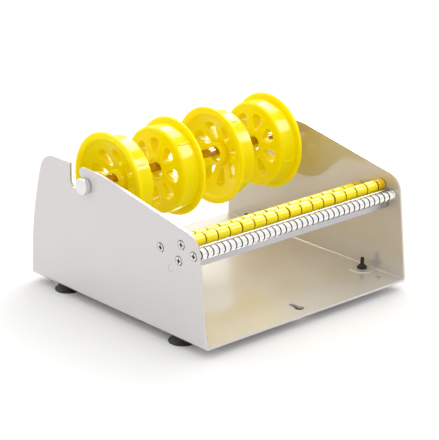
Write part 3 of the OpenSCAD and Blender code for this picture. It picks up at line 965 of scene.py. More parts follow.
@dataclass
class CrossScrews:
    """Countersunk screws with a cross recess, one in each cheek on every axis.

    Attributes:
        node: CAD node that they replace.
        axes: nodes whose middle lines are the screws' axes.
        length: length of a screw.
    """

    node: str
    axes: tuple[str, ...]
    length: float
    head_r: float = 4.3
    shank_r: float = 2.45
    sheet_t: float = 2.0
    sink: float = 0.1
    edge: float = 0.45
    recess_l: float = 4.6
    recess_w: float = 1.2
    recess_d: float = 1.2
    floor_share: float = 0.72
    wall_share: float = 0.95
    wall_depth: float = 0.3
    lip: float = 0.15
    lip_share: float = 0.3
    land: float = 0.45
    foot_round: float = 0.3
    least: float = 1e-6
    sectors: int = 96

    def cross(self, angle: Points) -> Points:
        """Reach of two crossed bars at these angles.

        A bar of half length a and half width b reaches the smaller of a / |cos t| and b / |sin t|, and
        the cross reaches as far as the longer of its two bars.

        Args:
            angle: angles round the screw.

        Returns:
            The radius at each angle.
        """
        cos = np.maximum(np.abs(np.cos(angle)), self.least)
        sin = np.maximum(np.abs(np.sin(angle)), self.least)
        half, wide = self.recess_l / 2, self.recess_w / 2
        return np.maximum(np.minimum(half / cos, wide / sin), np.minimum(half / sin, wide / cos))

    def rows(self) -> Points:
        """Rows from the recess's floor over the head to the tip.

        Returns:
            Array of (share of the cross, added radius, depth).
        """
        recess = np.array([
            (0.0, 0.0, self.recess_d),
            (self.floor_share, 0.0, self.recess_d),
            (self.wall_share, 0.0, self.wall_depth * self.recess_d),
            (1.0, self.lip_share * self.lip, self.lip_share * self.lip),
            (1.0, self.lip, 0.0),
        ])
        head = rounded([
            (self.recess_l / 2 + self.land, 0.0, 0.0),
            (self.head_r, 0.0, self.edge),
            (self.shank_r, self.sheet_t, self.foot_round),
            (self.shank_r, self.length, self.foot_round),
            (0.0, self.length, 0.0),
        ])
        return np.concatenate([recess, np.insert(head, 0, 0.0, axis=1)])

    def build(self) -> None:
        """Build all screws as one piece and let it replace its node."""
        outside = float(Span.of("frame").high[0]) - self.sink
        angle = np.linspace(0, 2 * math.pi, self.sectors, endpoint=False)
        share, radius, depth = (column[:, None] for column in self.rows().T)
        reach = share * self.cross(angle) + radius
        patches = []
        for axis in self.axes:
            middle = Span.of(axis).centre
            for side in Side:
                across = np.broadcast_to(side.value * (outside - depth), reach.shape)
                places = [across, middle[1] + reach * np.cos(angle), middle[2] + reach * np.sin(angle)]
                patches.append(Patch(np.stack(places, -1)))
        piece = make_piece(self.node.replace("screws", "cross_screws"), patches, SCREW_ZINC.material())
        settle(piece, "cradle", self.node)


@dataclass
class LocatingPins:
    """Plain pins of the rail, flush with the cheeks and painted with them."""

    node: str = "rail_pins"
    edge: float = 0.45
    inner_edge: float = 0.2
    length: float = 3.55

    def build(self) -> None:
        """Turn both pins with rounded outer edges and let them replace their node."""
        span = Span.of(self.node)
        outside = float(span.high[0])
        profile = rounded([
            (0.0, outside, 0.0),
            (span.radius, outside, self.edge),
            (span.radius, outside - self.length, self.inner_edge),
            (0.0, outside - self.length, 0.0),
        ])
        axis = span.centre[1:]
        patches = [turned(profile * (1, side.value), axis, Axis.ACROSS, SMALL_SECTORS) for side in Side]
        piece = make_piece("painted_pins", patches, CRADLE_PAINT.material())
        settle(piece, "cradle", self.node)


@dataclass
class SuctionFoot:
    """Rubber suction foot: cup, neck through the base, barbed head and pull tail.

    The heights are measured from the floor.
    """

    node: str
    cup_r: float = 11.5
    cup_lip: float = 1.0
    cup_hollow: float = 3.2
    cup_round: float = 0.35
    waist_r: float = 8.9
    waist_z: float = 3.2
    waist_round: float = 3.0
    shoulder_r: float = 7.5
    shoulder_z: float = 8.25
    shoulder_round: float = 0.8
    neck_r: float = 3.2
    neck_round: float = 0.05
    head_z: float = 10.35
    head_r: float = 4.4
    head_t: float = 1.65
    barb_round: float = 0.4
    head_round: float = 0.8
    cone_t: float = 2.2
    cone_round: float = 0.9
    tail_r: float = 1.75
    tail_round: float = 1.2
    hollow_steps: int = 10

    def profile(self, top: float) -> Points:
        """Outline from the hollow's middle round to the tail's tip.

        The hollow is a parabola, z = depth (1 - (r / mouth)^2).

        Args:
            top: height of the tail's tip.

        Returns:
            Array of (radius, height).
        """
        mouth = self.cup_r - self.cup_lip
        radius = np.linspace(0, mouth, self.hollow_steps)
        hollow = np.stack([radius, self.cup_hollow * (1 - (radius / mouth) ** 2)], -1)
        cone_z = self.head_z + self.head_t
        outside = rounded([
            (mouth, 0.0, 0.0),
            (self.cup_r, 0.0, self.cup_round),
            (self.cup_r, self.cup_lip, self.cup_round),
            (self.waist_r, self.waist_z, self.waist_round),
            (self.shoulder_r, self.shoulder_z, self.shoulder_round),
            (self.neck_r, self.shoulder_z, self.neck_round),
            (self.neck_r, self.head_z, self.neck_round),
            (self.head_r, self.head_z, self.barb_round),
            (self.head_r, cone_z, self.head_round),
            (self.tail_r, cone_z + self.cone_t, self.cone_round),
            (self.tail_r, top, self.tail_round),
            (0.0, top, 0.0),
        ])
        return np.concatenate([hollow, outside[1:]])

    def build(self) -> None:
        """Turn the foot about its upright axis and let it replace its node."""
        span = Span.of(self.node)
        patch = turned(self.profile(float(span.high[2])), span.centre[:2], Axis.UP, SMALL_SECTORS)
        name = self.node.replace("suction_foot", "rubber_foot")
        piece = make_piece(name, [patch], FOOT_RUBBER.material())
        settle(piece, "cradle", self.node)


@dataclass
class Spindle:
    """Plated rod and its two end pieces, turned about one axis."""

    head_r: float = 7.3
    head_t: float = 5.5
    head_round: float = 0.7
    journal_r: float = 5.9
    journal_round: float = 0.2
    flange_t: float = 2.0
    flange_round: float = 0.4
    bore_r: float = 4.08
    bore_floor: float = 2.4
    floor_round: float = 0.1
    mouth_round: float = 0.25
    rod_round: float = 0.4
    round_steps: int = 6

    def end_profile(self, inner: float, outer: float, flange_r: float) -> Points:
        """Outline of an end piece from its bore's floor round to its outer face.

        Args:
            inner: place of the inner flange's face along X.
            outer: place of the head's outer face along X.
            flange_r: radius of the inner flange.

        Returns:
            Array of (radius, place along X).
        """
        out = math.copysign(1.0, outer)
        floor = outer - out * self.bore_floor
        head = outer - out * self.head_t
        return rounded([
            (0.0, floor, 0.0),
            (self.bore_r, floor, self.floor_round),
            (self.bore_r, inner, self.mouth_round),
            (flange_r, inner, self.flange_round),
            (flange_r, inner + out * self.flange_t, self.flange_round),
            (self.journal_r, inner + out * self.flange_t, self.journal_round),
            (self.journal_r, head, self.journal_round),
            (self.head_r, head, self.head_round),
            (self.head_r, outer, self.head_round),
            (0.0, outer, 0.0),
        ], self.round_steps)

    def build(self) -> None:
        """Turn the rod and both end pieces."""
        rod = Span.of("spindle_rod")
        axis = rod.centre[1:]
        bar = rounded([
            (0.0, rod.low[0], 0.0),
            (rod.radius, rod.low[0], self.rod_round),
            (rod.radius, rod.high[0], self.rod_round),
            (0.0, rod.high[0], 0.0),
        ])
        piece = make_piece("plated_rod", [turned(bar, axis, Axis.ACROSS)], SPINDLE_GOLD.material())
        settle(piece, "spindle", "spindle_rod")
        for side in Side:
            node = f"spindle_end_{side.name.lower()}"
            span = Span.of(node)
            near, far = sorted((span.low[0], span.high[0]), key=abs)
            patch = turned(self.end_profile(near, far, span.radius), axis, Axis.ACROSS)
            piece = make_piece(f"plated_end_{side.name.lower()}", [patch], SPINDLE_PLATE.material())
            settle(piece, "spindle_ends", node)


@dataclass
class CoreReel:
    """Flanged drum for a label core, with a dished wall of spokes around its hub.

    Heights are measured from the flange's outer face towards the drum's free end. The window that
    separates two spokes is a rounded triangle, and each eighth of the wall is a sheet that runs from
    the sector's border over the window's lip, through the window and back along the dished side.
    """

    number: int
    side: DrumSide
    turn: float
    drum_r: float = 38.0
    drum_bevel: float = 1.4
    face_round: float = 0.5
    bevel_round: float = 0.6
    root_round: float = 0.8
    flange_t: float = 2.6
    flange_round: float = 0.95
    hollow_r_out: float = 37.4
    hollow_r_in: float = 36.0
    hollow_depth: float = 2.5
    hollow_round: float = 3.0
    wall_r: float = 31.5
    hub_r: float = 10.0
    hub_depth: float = 7.6
    dish_depth: float = 13.9
    hub_sink: float = 2.4
    hub_bore_r: float = 8.08
    hub_round: float = 0.5
    bore_round: float = 0.2
    sink_r: float = 9.3
    sink_round: float = 0.25
    step_round: float = 0.15
    windows: int = 8
    window_r: float = 29.0
    corner_r: float = 4.4
    tip_r: float = 2.7
    spoke_t: float = 7.2
    lip: float = 0.5
    ribs: int = 4
    rib_w: float = 2.4
    rib_h: float = 0.7
    rib_stop: float = 3.4
    rib_blunt: float = 0.3
    rib_square: float = 0.7
    rib_spread: float = 0.5
    rib_rows: int = 17
    rib_points: int = 24
    rim_steps: int = 20
    corner_steps: int = 7
    hub_steps: int = 8
    side_steps: int = 10
    lip_steps: int = 5
    land_steps: int = 4

    def __post_init__(self) -> None:
        """Work out the reel's place and the half angle between two spokes."""
        span = Span.of(f"reel_{self.number}")
        self.width = float(span.high[0] - span.low[0])
        self.flange_r = span.radius
        self.axis = span.centre[1:]
        self.face = span.low[0] if self.side is DrumSide.RIGHT else span.high[0]
        self.half = math.pi / self.windows
        self.start = math.radians(self.turn - 90)

    def dish(self, radius: Points) -> Points:
        """Height of the dished side: a cone from the drum's wall to the hub."""
        fall = (self.dish_depth - self.hollow_depth) / (self.hollow_r_in - self.hub_r)
        return self.hollow_depth + fall * (self.hollow_r_in - radius)

    def window(self) -> tuple[Points, Points, Points]:
        """Outline of a window, its outward normals and the matching border of its sector.

        The outline runs round the tip, up one side, round the two outer corners and down the other side.
        The border takes the hub's arc, a spoke's middle, the rim's arc and the other spoke's middle.

        Returns:
            Three arrays of shape (points, 2), along and across the window's middle line.
        """
        corner_at = self.window_r - self.corner_r
        swing = self.half - math.asin((self.spoke_t / 2 + self.corner_r) / corner_at)
        corner = corner_at * np.array([math.cos(swing), math.sin(swing)])
        tip = np.array([(self.spoke_t / 2 + self.tip_r) / math.sin(self.half), 0.0])
        lean = math.pi / 2 + self.half
        flip = np.array([1.0, -1.0])

        def ray(angle: Points) -> Points:
            """Unit vectors at these angles."""
            return np.stack([np.cos(angle), np.sin(angle)], -1)

        tip_way = ray(np.linspace(2 * math.pi - lean, lean, self.hub_steps + 1))[:-1]
        corner_way = ray(np.linspace(lean, 0.0, self.corner_steps + 1))
        side_way = np.repeat(ray(np.array([lean])), self.side_steps, 0)
        along = np.linspace(0, 1, self.side_steps, endpoint=False)[:, None]
        low = tip + self.tip_r * side_way[:1]
        high = corner + self.corner_r * side_way[:1]
        side = low + along * (high - low)
        flat_steps = self.rim_steps - 2 * self.corner_steps
        across = np.linspace(1, -1, flat_steps + 1)[1:-1, None]
        flat = np.concatenate([np.full_like(across, corner[0] + self.corner_r), across * corner[1]], -1)
        flat_way = np.repeat([[1.0, 0.0]], len(flat), 0)
        upper = corner + self.corner_r * corner_way
        back = (high + along * (low - high)) * flip
        outline = np.concatenate(
            [tip + self.tip_r * tip_way, side, upper, flat, (upper * flip)[::-1][:-1], back]
        )
        normals = np.concatenate(
            [tip_way, side_way, corner_way, flat_way, (corner_way * flip)[::-1][:-1], side_way * flip]
        )
        hub_arc = self.hub_r * ray(np.linspace(-self.half, self.half, self.hub_steps + 1))[:-1]
        spoke = ray(np.array([self.half])) * (self.hub_r + along * (self.wall_r - self.hub_r))
        rim_arc = self.wall_r * ray(np.linspace(self.half, -self.half, self.rim_steps + 1))[:-1]
        spoke_back = ray(np.array([-self.half])) * (self.wall_r + along * (self.hub_r - self.wall_r))
        return outline, normals, np.concatenate([hub_arc, spoke, rim_arc, spoke_back])

    def sector(self) -> Points:
        """One eighth of the spoked wall, as rows from the free side's border to the dished side's border.

        Between the border and the lip a row lies part of the way from one to the other. On a lip of
        radius c at angle a the row stands c (1 - sin a) off the outline and c (1 - cos a) deep.

        Returns:
            Array of shape (rows, points, 3): along, across and height.
        """
        outline, normals, border = self.window()
        lip_line = outline + self.lip * normals
        part = np.linspace(1, 0, self.land_steps)[:, None, None]
        land = lip_line + part * (border - lip_line)
        angle = np.linspace(0, math.pi / 2, self.lip_steps)[1:, None, None]
        lip = outline + self.lip * (1 - np.sin(angle)) * normals
        deep = np.broadcast_to(self.lip * (1 - np.cos(angle)), (*lip.shape[:2], 1))
        plan = np.concatenate([land, lip])
        free = np.concatenate([np.zeros((*land.shape[:2], 1)), deep])
        dished = self.dish(np.linalg.norm(plan, axis=-1, keepdims=True)) + free
        top = np.concatenate([plan, self.width - free], -1)
        bottom = np.concatenate([plan, dished], -1)[::-1]
        middle = (top[-1:] + bottom[:1]) / 2
        return np.concatenate([top, middle, bottom])

    def placed(self, local: Points, turn: Points) -> Points:
        """Carry local points (along, across, height) to the spindle at the given turns.

        Args:
            local: array whose last axis is along, across and height.
            turn: angles in radians, one for each copy.

        Returns:
            Array with one more leading axis, of X, Y and Z.
        """
        shape = (-1, *([1] * (local.ndim - 1)))
        cos, sin = np.cos(turn).reshape(shape), np.sin(turn).reshape(shape)
        along, across, height = local[..., 0], local[..., 1], local[..., 2]
        first = self.axis[0] + along * cos - across * sin
        second = self.axis[1] + along * sin + across * cos
        place = np.broadcast_to(self.face + self.side.value * height, first.shape)
        return np.stack([place, first, second], -1)

    def turned_wall(self, corners: Sequence[tuple[float, float, float]], steps: int) -> Patch:
        """Turn an outline of (radius, height, rounding) with points at the sectors' borders.

        Args:
            corners: outline.
            steps: steps in each sector.

        Returns:
            The patch round the whole reel.
        """
        profile = rounded(corners)
        profile[:, 1] = self.face + self.side.value * profile[:, 1]
        return turned(profile, self.axis, Axis.ACROSS, self.windows * steps, self.start - self.half)

    def rim(self) -> Patch:
        """Turn the drum, flange and hollow.

        Returns:
            The patch from the spokes' free side round to their dished side.
        """
        width = self.width
        return self.turned_wall([
            (self.wall_r, width, 0.0),
            (self.drum_r - self.drum_bevel, width, self.face_round),
            (self.drum_r, width - self.drum_bevel, self.bevel_round),
            (self.drum_r, self.flange_t, self.root_round),
            (self.flange_r, self.flange_t, self.flange_round),
            (self.flange_r, 0.0, self.flange_round),
            (self.hollow_r_out, 0.0, self.hollow_round),
            (self.hollow_r_in, self.hollow_depth, self.hollow_round),
            (self.wall_r, float(self.dish(np.array(self.wall_r))), 0.0),
        ], self.rim_steps)

    def hub(self) -> Patch:
        """Turn the hub.

        Returns:
            The patch from the free side, down its recess and through its bore to the dished side.
        """
        end = self.width - self.hub_sink
        return self.turned_wall([
            (self.hub_r, self.width, 0.0),
            (self.sink_r, self.width, self.sink_round),
            (self.sink_r, end, self.step_round),
            (self.hub_bore_r, end, self.bore_round),
            (self.hub_bore_r, self.hub_depth, self.bore_round),
            (self.hub_r, self.hub_depth, self.hub_round),
            (self.hub_r, self.dish_depth, 0.0),
        ], self.hub_steps)

    def rib(self) -> Points:
        """Bar on the drum: a superellipse across, carried along the drum with blunt round ends.

        At v from -90 to 90 degrees the bar has the power rib_blunt of |cos v| of its full section, and
        lies the power rib_spread of |sin v|, with its sign, along its half length. Its section at angle u
        takes the powers rib_square of |cos u| and |sin u|, with their signs.

        Returns:
            Array of shape (rows, points, 3): along, across and height.
        """
        start = self.flange_t / 2
        length = self.width - self.rib_stop - start
        lengthwise = np.linspace(-math.pi / 2, math.pi / 2, self.rib_rows)[:, None]
        round_it = np.linspace(0, 2 * math.pi, self.rib_points, endpoint=False)

        def signed(value: Points, power: float) -> Points:
            """Power of a value's size, with its sign."""
            return np.sign(value) * np.abs(value) ** power

        swell = np.abs(np.cos(lengthwise)) ** self.rib_blunt
        across = self.rib_w / 2 * swell * signed(np.cos(round_it), self.rib_square)
        outward = self.rib_h * swell * signed(np.sin(round_it), self.rib_square)
        place = signed(np.sin(lengthwise), self.rib_spread)
        height = np.broadcast_to(start + length * (1 + place) / 2, across.shape)
        return np.stack([self.drum_r + outward, across, height], -1)

    def build(self) -> None:
        """Join rim, hub, spokes and ribs, and let the reel replace its node."""
        spokes = self.placed(self.sector(), self.start + 2 * self.half * np.arange(self.windows))
        bars = self.placed(self.rib(), self.start + 2 * math.pi / self.ribs * np.arange(self.ribs))
        patches = [self.rim(), self.hub(), *map(Patch, spokes), *map(Patch, bars)]
        piece = make_piece(f"core_reel_{self.number}", patches, REEL_YELLOW.material())
        settle(piece, f"reel_{self.number}", f"reel_{self.number}")


@dataclass
class ReelBush:
    """Plain bush with two lips, which hangs on the rod and carries a reel."""

    number: int
    bore_r: float = 6.85
    body_r: float = 8.0
    body_round: float = 0.1
    lip_t: float = 0.7
    edge: float = 0.25

    def build(self) -> None:
        """Turn the bush and let it replace its node."""
        node = f"reel_bush_{self.number}"
        span = Span.of(node)
        low, high = span.low[0], span.high[0]
        middle = (low + high) / 2
        profile = rounded([
            (self.bore_r, middle, 0.0),
            (self.bore_r, low, self.edge),
            (span.radius, low, self.edge),
            (span.radius, low + self.lip_t, self.edge),
            (self.body_r, low + self.lip_t, self.body_round),
            (self.body_r, high - self.lip_t, self.body_round),
            (span.radius, high - self.lip_t, self.edge),
            (span.radius, high, self.edge),
            (self.bore_r, high, self.edge),
            (self.bore_r, middle, 0.0),
        ])
        patch = turned(profile, span.centre[1:], Axis.ACROSS, SMALL_SECTORS)
        piece = make_piece(f"hanging_bush_{self.number}", [patch], REEL_YELLOW.material())
        settle(piece, f"bush_{self.number}", node)


@dataclass
class SpoolRow:
    """Row of yellow guide spools on one axle, four whole ones and a short one."""

    row: str
    spools: int = 4
    bands: int = 4
    bore_r: float = 3.58
    groove_w: float = 1.5
    groove_depth: float = 1.1
    groove_edge: float = 0.3
    groove_foot: float = 0.6
    groove_round: float = 0.15
    bore_round: float = 0.3
    end_round: float = 0.9
    end_inset: float = 0.35
    shade_start: float = 0.2
    shade_reach: float = 0.5

    def profile(self, span: Span, bands: int) -> Points:
        """Outline of a spool: a drum with narrow grooves between its bands.

        Args:
            span: the spool's CAD box.
            bands: number of bands.

        Returns:
            Array of (radius, place along X), closed at the bore.
        """
        low, high, radius = span.low[0] + self.end_inset, span.high[0] - self.end_inset, span.radius
        bottom = radius - self.groove_depth
        half = self.groove_w / 2
        grooves = [low + (high - low) * part / bands for part in range(1, bands)]
        middle = (self.bore_r, (low + high) / 2, 0.0)
        corners = [middle, (self.bore_r, low, self.bore_round), (radius, low, self.end_round)]
        for place in grooves:
            corners += [
                (radius, place - half, self.groove_edge),
                (bottom, place - half * self.groove_foot, self.groove_round),
                (bottom, place + half * self.groove_foot, self.groove_round),
                (radius, place + half, self.groove_edge),
            ]
        corners += [(radius, high, self.end_round), (self.bore_r, high, self.bore_round), middle]
        return rounded(corners)

    def build(self) -> None:
        """Turn every spool of the row and let it replace its node."""
        numbers = range(1, self.spools + 1)
        whole = [(f"{self.row}_spool_{number}", self.bands, SPOOL_YELLOW) for number in numbers]
        # The short end spool gets the darker gold, a painted shade and reflection of the right cheek.
        for node, bands, finish in [*whole, (f"{self.row}_end_spool", 1, SPOOL_SHADED_END)]:
            span = Span.of(node)
            patch = turned(self.profile(span, bands), span.centre[1:], Axis.ACROSS, SMALL_SECTORS)
            piece = make_piece(f"yellow_{node}", [patch], finish.material())
            # Painted shade in the grooves and the gaps between spools.
            shade_below(piece, span.centre[1:], span.radius, self.shade_start, self.shade_reach)
            settle(piece, node, node)


@dataclass
class PeelRow:
    """Row of bright rings at the front edge, with a spacer sleeve at each end."""

    rings: int = 36
    gap: float = 0.35
    groove: float = 0.45
    bore_r: float = 3.58
    bore_round: float = 0.1
    edge: float = 0.5
    sleeve_bore_r: float = 3.55
    sleeve_inset: float = 0.3
    shade_start: float = 0.03
    shade_reach: float = 0.15
    sectors: int = 56

    def section(self, bore: float, radius: float, low: float, high: float) -> Points:
        """Outline of a ring with rounded edges, closed at its bore.

        Args:
            bore: radius of the bore.
            radius: outer radius.
            low: left end along X.
            high: right end along X.

        Returns:
            Array of (radius, place along X).
        """
        middle = (low + high) / 2
        return rounded([
            (bore, middle, 0.0),
            (bore, low, self.bore_round),
            (radius, low, self.edge),
            (radius, high, self.edge),
            (bore, high, self.bore_round),
            (bore, middle, 0.0),
        ])

    def build(self) -> None:
        """Turn all rings as one piece, and both sleeves as another."""
        row = Span.of("peel_rings")
        axis = row.centre[1:]
        pitch = (row.high[0] - row.low[0] + self.gap) / self.rings
        left = row.low[0] + self.groove / 2
        right = row.low[0] + pitch - self.gap - self.groove / 2
        ring = self.section(self.bore_r, row.radius, left, right)
        first = turned(ring, axis, Axis.ACROSS, self.sectors)
        steps = pitch * np.arange(self.rings)
        copies = first.points + np.stack([steps, 0 * steps, 0 * steps], -1)[:, None, None, :]
        piece = make_piece("peel_ring_row", list(map(Patch, copies)), RING_NICKEL.material())
        # Painted shade in the gaps between rings.
        shade_below(piece, axis, row.radius, self.shade_start, self.shade_reach)
        settle(piece, "peel_rings", "peel_rings")
        spacers = Span.of("peel_spacers")
        ends = (
            (row.high[0] + self.sleeve_inset, spacers.high[0]),
            (spacers.low[0], row.low[0] - self.sleeve_inset),
        )
        sleeves = [self.section(self.sleeve_bore_r, spacers.radius, low, high) for low, high in ends]
        patches = [turned(sleeve, axis, Axis.ACROSS, self.sectors) for sleeve in sleeves]
        piece = make_piece("peel_sleeves", patches, RING_NICKEL.material())
        settle(piece, "cradle", "peel_spacers")


@dataclass
class Studio:
    """Pale floor, soft light and a camera at the photograph's angle.

    Attributes:
        azimuth: camera's turn to the left of the front, in degrees.
        elevation: camera's height over the level, in degrees.
        roll: camera's roll, in degrees.
        place: camera's place, in millimetres.
        focal: focal length in pixels of a frame 440 pixels high.
        frame_h: height of that frame, in pixels.
        off_centre: how far the optical centre lies right of and below the picture's middle, in pixels.
        sensor: width of the camera's sensor, in millimetres.
        clip: nearest and farthest distance that the camera sees, in metres.
        floor_size: side of the floor, in millimetres.
        floor_colour: colour of the floor, linear.
        sky: brightness of the sky over the height of a direction, from 0 to 1.
        sky_limit: top of the curve's range.
        sky_tint: colour of the sky.
        overhead_place: middle of the softbox above, in millimetres.
        overhead_way: direction in which it shines.
        overhead_size: its sides, in millimetres.
        overhead_radiance: its brightness.
        spindle: Y and Z of the circle on which the bands hang.
        band_radius: radius of that circle.
        band_along: distance of the bands' middle from the reels, along X.
        band_length: length of the bands along X.
        rear_soft: first and last angle and brightness of the band that lights the object softly.
        rear_band: the same for the rear highlight of the drums.
        front_band: the same for their front highlight.
        bend_way: direction that the bends of the base mirror.
        bend_size: sides of the box for their highlight, in millimetres.
        bend_radiance: its brightness.
        spared: bright pieces whose thin dark gaps a highlight box would drown.
        sheet: broad pieces that would mirror the front highlight as a blot.
    """

    azimuth: float = -42.778
    elevation: float = 19.924
    roll: float = 0.848
    place: tuple[float, float, float] = (-1077.63, -1164.61, 635.34)
    focal: float = 1949.03
    frame_h: float = 440.0
    off_centre: tuple[float, float] = (0.22, 0.16)
    sensor: float = 36.0
    clip: tuple[float, float] = (0.05, 60.0)
    floor_size: float = 16000.0
    floor_colour: Colour = (0.85, 0.85, 0.85)
    sky: tuple[tuple[float, float], ...] = ((0.0, 0.95), (0.15, 1.0), (0.5, 1.1), (1.0, 1.15))
    sky_limit: float = 2.0
    sky_tint: Colour = (1.0, 0.995, 0.985)
    overhead_place: tuple[float, float, float] = (300.0, 100.0, 1700.0)
    overhead_way: tuple[float, float, float] = (-0.15, 0.0, -1.0)
    overhead_size: tuple[float, float] = (1400.0, 1000.0)
    overhead_radiance: float = 0.8
    spindle: tuple[float, float] = (37.6, 105.2)
    band_radius: float = 1155.0
    band_along: float = 957.0
    band_length: float = 900.0
    rear_soft: tuple[float, float, float] = (30.0, 90.0, 2.0)
    rear_band: tuple[float, float, float] = (38.0, 88.0, 18.0)
    front_band: tuple[float, float, float] = (116.0, 145.0, 28.0)
    bend_way: tuple[float, float, float] = (-0.34, 0.69, 0.64)
    bend_size: tuple[float, float] = (400.0, 500.0)
    bend_radiance: float = 4.5
    spared: tuple[str, ...] = ("peel_ring_row", "peel_sleeves")
    sheet: tuple[str, ...] = ("frame",)

    def camera(self) -> None:
        """Set up the camera from its angles, place and focal length."""
        turn, rise, roll = (math.radians(angle) for angle in (self.azimuth, self.elevation, self.roll))
        back = Vector((math.sin(turn) * math.cos(rise), -math.cos(turn) * math.cos(rise), math.sin(rise)))
        right = Vector((math.cos(turn), math.sin(turn), 0.0))
        up = back.cross(right)
        across = right * math.cos(roll) + up * math.sin(roll)
        upward = up * math.cos(roll) - right * math.sin(roll)
        data = bpy.data.cameras.new("photo_camera")
        data.sensor_width = self.sensor
        data.lens = self.focal / self.frame_h * self.sensor
        data.shift_x = -self.off_centre[0] / self.frame_h
        data.shift_y = self.off_centre[1] / self.frame_h
        data.clip_start, data.clip_end = self.clip
        camera = bpy.data.objects.new("photo_camera", data)
        turned_axes = Matrix((across, upward, back)).transposed().to_4x4()
        camera.matrix_world = Matrix.Translation(Vector(self.place) * MM) @ turned_axes
        bpy.context.scene.collection.objects.link(camera)
        bpy.context.scene.camera = camera

    def floor(self) -> None:
        """Lay a plain pale floor under the feet."""
        half = self.floor_size / 2
        corners = np.array([(-half, -half, 0), (half, -half, 0), (half, half, 0), (-half, half, 0)]) * MM
        mesh = bpy.data.meshes.new("floor")
        mesh.from_pydata(corners, [], [(0, 1, 2, 3)])
        material = bpy.data.materials.new("pale_floor")
        material.use_nodes = True
        shader = material.node_tree.nodes["Principled BSDF"]
        shader.inputs["Base Color"].default_value = (*self.floor_colour, 1.0)
        shader.inputs["Roughness"].default_value = 1.0
        shader.inputs["Specular IOR Level"].default_value = 0.0
        mesh.materials.append(material)
        floor = bpy.data.objects.new("floor", mesh)
        bpy.context.scene.collection.objects.link(floor)

    def lamp(
        self, name: str, place: Vector, facing: Vector, size: tuple[float, float], radiance: float
    ) -> bpy.types.Object:
        """Hang a softbox with its first side as close to X as it can be.

        A flat lamp of area A needs a power of pi A times its radiance.

        Args:
            name: name of the lamp.
            place: its middle, in millimetres.
            facing: direction in which it shines.
            size: its sides along X and across, in millimetres.
            radiance: its brightness.

        Returns:
            The lamp, linked to the scene.
        """
        data = bpy.data.lights.new(name, "AREA")
        data.shape = "RECTANGLE"
        data.size, data.size_y = size[0] * MM, size[1] * MM
        data.energy = math.pi * data.size * data.size_y * radiance
        lamp = bpy.data.objects.new(name, data)
        behind = -facing.normalized()
        across = behind.cross(Vector((1.0, 0.0, 0.0))).normalized()
        axes = Matrix((across.cross(behind), across, behind)).transposed().to_4x4()
        lamp.matrix_world = Matrix.Translation(place * MM) @ axes
        lamp.visible_camera = False
        bpy.context.scene.collection.objects.link(lamp)
        return lamp

    def band(self, name: str, first: float, last: float, radiance: float) -> bpy.types.Object:
        """Hang a box that the drums mirror as a bright band.

        The camera sees a mirror on a drum look right along X, and from its two angles about X, in degrees
        from the rear, follow the box's place on a circle about the spindle and its width.

        Args:
            name: name of the lamp.
            first: angle about the spindle at which the band starts.
            last: angle at which it ends.
            radiance: its brightness.

        Returns:
            The lamp.
        """
        middle, half = math.radians((first + last) / 2), math.radians((last - first) / 2)
        outward = Vector((0.0, math.cos(middle), math.sin(middle)))
        right = Vector((self.band_along, 0.0, 0.0))
        place = Vector((0.0, *self.spindle)) + right + outward * self.band_radius
        size = (self.band_length, 2 * self.band_radius * math.tan(half))
        return self.lamp(name, place, -outward, size, radiance)

    def spared_pieces(self, title: str, names: tuple[str, ...]) -> bpy.types.Collection:
        """Collect pieces that a highlight box leaves alone.

        Args:
            title: name of the collection.
            names: names of the pieces.

        Returns:
            A collection that keeps a lamp's light off its pieces.
        """
        spared = bpy.data.collections.new(title)
        for name in names:
            spared.objects.link(bpy.data.objects[name])
        for member in spared.collection_objects:
            member.light_linking.link_state = "EXCLUDE"
        return spared

    def light(self) -> None:
        """Light the object by a pale sky, two softboxes and three boxes for highlights alone."""
        world = bpy.data.worlds.new("pale_sky")
        world.use_nodes = True
        bpy.context.scene.world = world
        graph = Graph(world.node_tree)
        place = graph.add("ShaderNodeTexCoord")
        split = graph.add("ShaderNodeSeparateXYZ")
        ramp = graph.add("ShaderNodeFloatCurve")
        graph.link(place.outputs["Generated"], split.inputs[0])
        graph.link(split.outputs["Z"], ramp.inputs["Value"])
        curve = ramp.mapping.curves[0]
        ramp.mapping.clip_max_y = self.sky_limit
        curve.points[0].location, curve.points[1].location = self.sky[0], self.sky[-1]
        for height, brightness in self.sky[1:-1]:
            curve.points.new(height, brightness)
        ramp.mapping.update()
        background = world.node_tree.nodes["Background"]
        background.inputs["Color"].default_value = (*self.sky_tint, 1.0)
        graph.link(ramp.outputs["Value"], background.inputs["Strength"])
        above, down = Vector(self.overhead_place), Vector(self.overhead_way)
        self.lamp("overhead_box", above, down, self.overhead_size, self.overhead_radiance)
        self.band("rear_soft_box", *self.rear_soft).visible_glossy = False
        bright = self.spared_pieces("bright_pieces", self.spared)
        bright_and_sheet = self.spared_pieces("bright_pieces_and_sheet", self.spared + self.sheet)
        bend_way = Vector(self.bend_way)
        bend_place = bend_way * self.band_radius
        for lamp, spared in (
            (self.band("rear_band_box", *self.rear_band), bright),
            (self.band("front_band_box", *self.front_band), bright_and_sheet),
            (self.lamp("bend_box", bend_place, -bend_way, self.bend_size, self.bend_radiance), bright),
        ):
            lamp.visible_diffuse = False
            lamp.light_linking.receiver_collection = spared

    def build(self) -> None:
        """Set up camera, floor and light under plain view settings."""
        bpy.context.scene.view_settings.view_transform = "Standard"
        self.camera()
        self.floor()
        self.light()


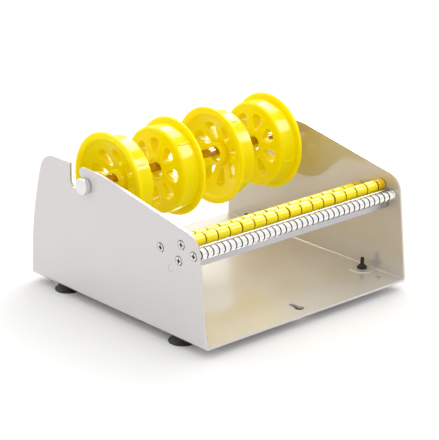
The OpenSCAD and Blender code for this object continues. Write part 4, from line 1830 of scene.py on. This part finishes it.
def main() -> None:
    """Build the dispenser's sub-assemblies and the studio in order."""
    logging.basicConfig(level=logging.INFO, format="%(name)s: %(message)s")
    Cradle().dress()
    LocatingPins().build()
    CrossScrews("axle_screws", ("axle_front", "axle_rear", "axle_peel"), 14.0).build()
    CrossScrews("rail_screws", ("rail_nuts",), 7.55).build()
    for end in ("front", "rear"):
        for side in Side:
            SuctionFoot(f"suction_foot_{end}_{side.name.lower()}").build()
    Spindle().build()
    reels = (
        CoreReel(1, DrumSide.RIGHT, 55.0),
        CoreReel(2, DrumSide.LEFT, 42.5),
        CoreReel(3, DrumSide.RIGHT, 28.5),
        CoreReel(4, DrumSide.LEFT, 13.0),
    )
    for reel in reels:
        ReelBush(reel.number).build()
        reel.build()
    for row in ("front", "rear"):
        SpoolRow(row).build()
    PeelRow().build()
    Studio().build()


if __name__ == "__main__":
    main()
